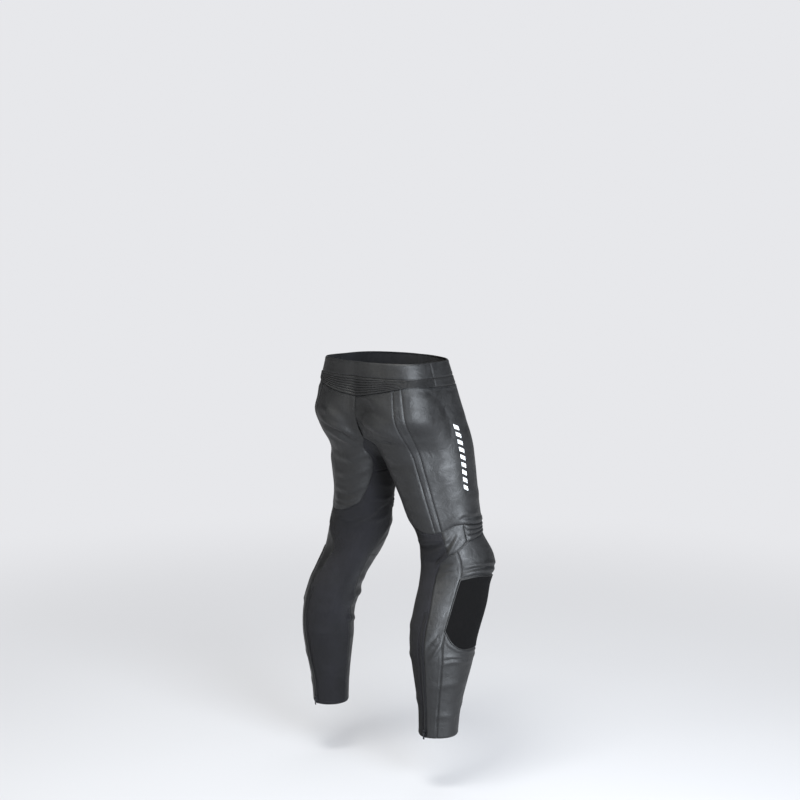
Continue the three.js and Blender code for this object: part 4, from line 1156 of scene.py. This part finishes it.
# %% Floor and backdrop
FLOOR, REACH = -1.060, 14.0
BACKDROP = (0.80, 0.805, 0.83, 1)


def disc(radii, height):
    around = np.radians(np.arange(0, 360, 6))
    points = [(r * math.cos(a), r * math.sin(a), height) for r in radii for a in around]
    n = len(around)
    faces = [(i * n + k, (i + 1) * n + k, (i + 1) * n + (k + 1) % n, i * n + (k + 1) % n)
             for i in range(len(radii) - 1) for k in range(n)]
    return points, [tuple(range(n))] + faces


def studio_paper():
    """Pale paper that turns into plain backlit backdrop far from the middle, so no horizon shows."""
    m = new_material("studio_paper")
    place = add(m, "ShaderNodeTexCoord")
    mottle = add(m, "ShaderNodeTexNoise", {"Scale": 0.8, "Detail": 2.0}, Vector=(place, "Object"))
    tone = two_tones(m, (mottle, "Fac"), "#c6c7ca", "#cacbce")
    sheet = add(m, "ShaderNodeBsdfPrincipled", {"Roughness": 0.95, "IOR": 1.4}, Base_Color=(tone, "Color"))
    lit = add(m, "ShaderNodeEmission", {"Color": BACKDROP, "Strength": 1.0})
    far = add(m, "ShaderNodeVectorMath", {"operation": "LENGTH"}, i0=(place, "Object"))
    fade = add(m, "ShaderNodeMapRange", {"From Min": 0.9, "From Max": 3.4, "To Min": 0.45, "interpolation_type": "SMOOTHSTEP"},
               Value=(far, "Value"))
    both = add(m, "ShaderNodeMixShader", i0=(fade, "Result"), i1=(sheet, "BSDF"), i2=(lit, "Emission"))
    return finish(m, both)


sweep = bpy.data.meshes.new("studio_floor")
disc_points, disc_faces = disc([0.5, 2, 5, REACH], FLOOR)
sweep.from_pydata(disc_points, [], disc_faces)
floor = bpy.data.objects.new("studio_floor", sweep)
bpy.context.scene.collection.objects.link(floor)
sweep.materials.append(studio_paper())
floor.visible_diffuse = False      # black flags under the set: no pale bounce on the legs

world = bpy.data.worlds.new("studio_world")
bpy.context.scene.world = world
world.use_nodes = True
world.node_tree.nodes.clear()
soft_air = add(world, "ShaderNodeBackground", {"Color": (0.9, 0.94, 1.0, 1), "Strength": 0.055})
wall = add(world, "ShaderNodeBackground", {"Color": BACKDROP, "Strength": 1.0})
seen = add(world, "ShaderNodeLightPath")
air = add(world, "ShaderNodeMixShader", i0=(seen, "Is Camera Ray"), i1=(soft_air, "Background"),
          i2=(wall, "Background"))
world_out = add(world, "ShaderNodeOutputWorld")
world.node_tree.links.new(air.outputs[0], world_out.inputs["Surface"])


# %% Lights
def area_light(name, place, aim, size, power, colour=(1, 1, 1)):
    light = bpy.data.lights.new(name, "AREA")
    light.shape, light.size, light.size_y = "RECTANGLE", size[0], size[1]
    light.energy, light.color = power, colour
    lamp = bpy.data.objects.new(name, light)
    bpy.context.scene.collection.objects.link(lamp)
    lamp.location = place
    lamp.rotation_euler = (Vector(aim) - Vector(place)).to_track_quat("-Z", "Y").to_euler()
    return lamp


SIGHT = Vector((math.sin(math.radians(224)), -math.cos(math.radians(224)), 0))
ASIDE = Vector((-SIGHT.y, SIGHT.x, 0))     # toward the camera's right
UP = Vector((0, 0, 1))


def studio(right, up, toward):
    """A place in the studio as the camera sees it: to its right, up, and toward it."""
    return ASIDE * right + UP * up + SIGHT * toward


area_light("key_strip", studio(1.25, 0.1, 2.2), (-0.1, 0, -0.45), (1.3, 2.3), 175, (0.86, 0.925, 1.0))
area_light("fill_strip", studio(-2.0, 0.2, 1.5), (0.05, 0, -0.45), (0.7, 1.6), 12, (1.0, 0.99, 0.92))
area_light("top_softbox", studio(-0.5, 2.3, 0.9), (0, 0, -0.3), (1.2, 1.0), 92, (1.0, 0.995, 0.96))
area_light("floor_wash", studio(0.0, 2.6, -1.4), (0, 0.0, -1.06), (3.0, 2.0), 48, (0.97, 0.98, 1.0))

# %% Camera
PITCH_DOWN = math.radians(7.8)
camera_data = bpy.data.cameras.new("studio_camera")
camera_data.lens, camera_data.sensor_width = 72.27, 36.0
camera = bpy.data.objects.new("studio_camera", camera_data)
bpy.context.scene.collection.objects.link(camera)
camera.location = (-2.80165, 2.85513, 0.440)
look = -SIGHT * math.cos(PITCH_DOWN) - UP * math.sin(PITCH_DOWN)
camera.rotation_euler = look.to_track_quat("-Z", "Y").to_euler()
bpy.context.scene.camera = camera
bpy.context.scene.view_settings.view_transform = "Standard"
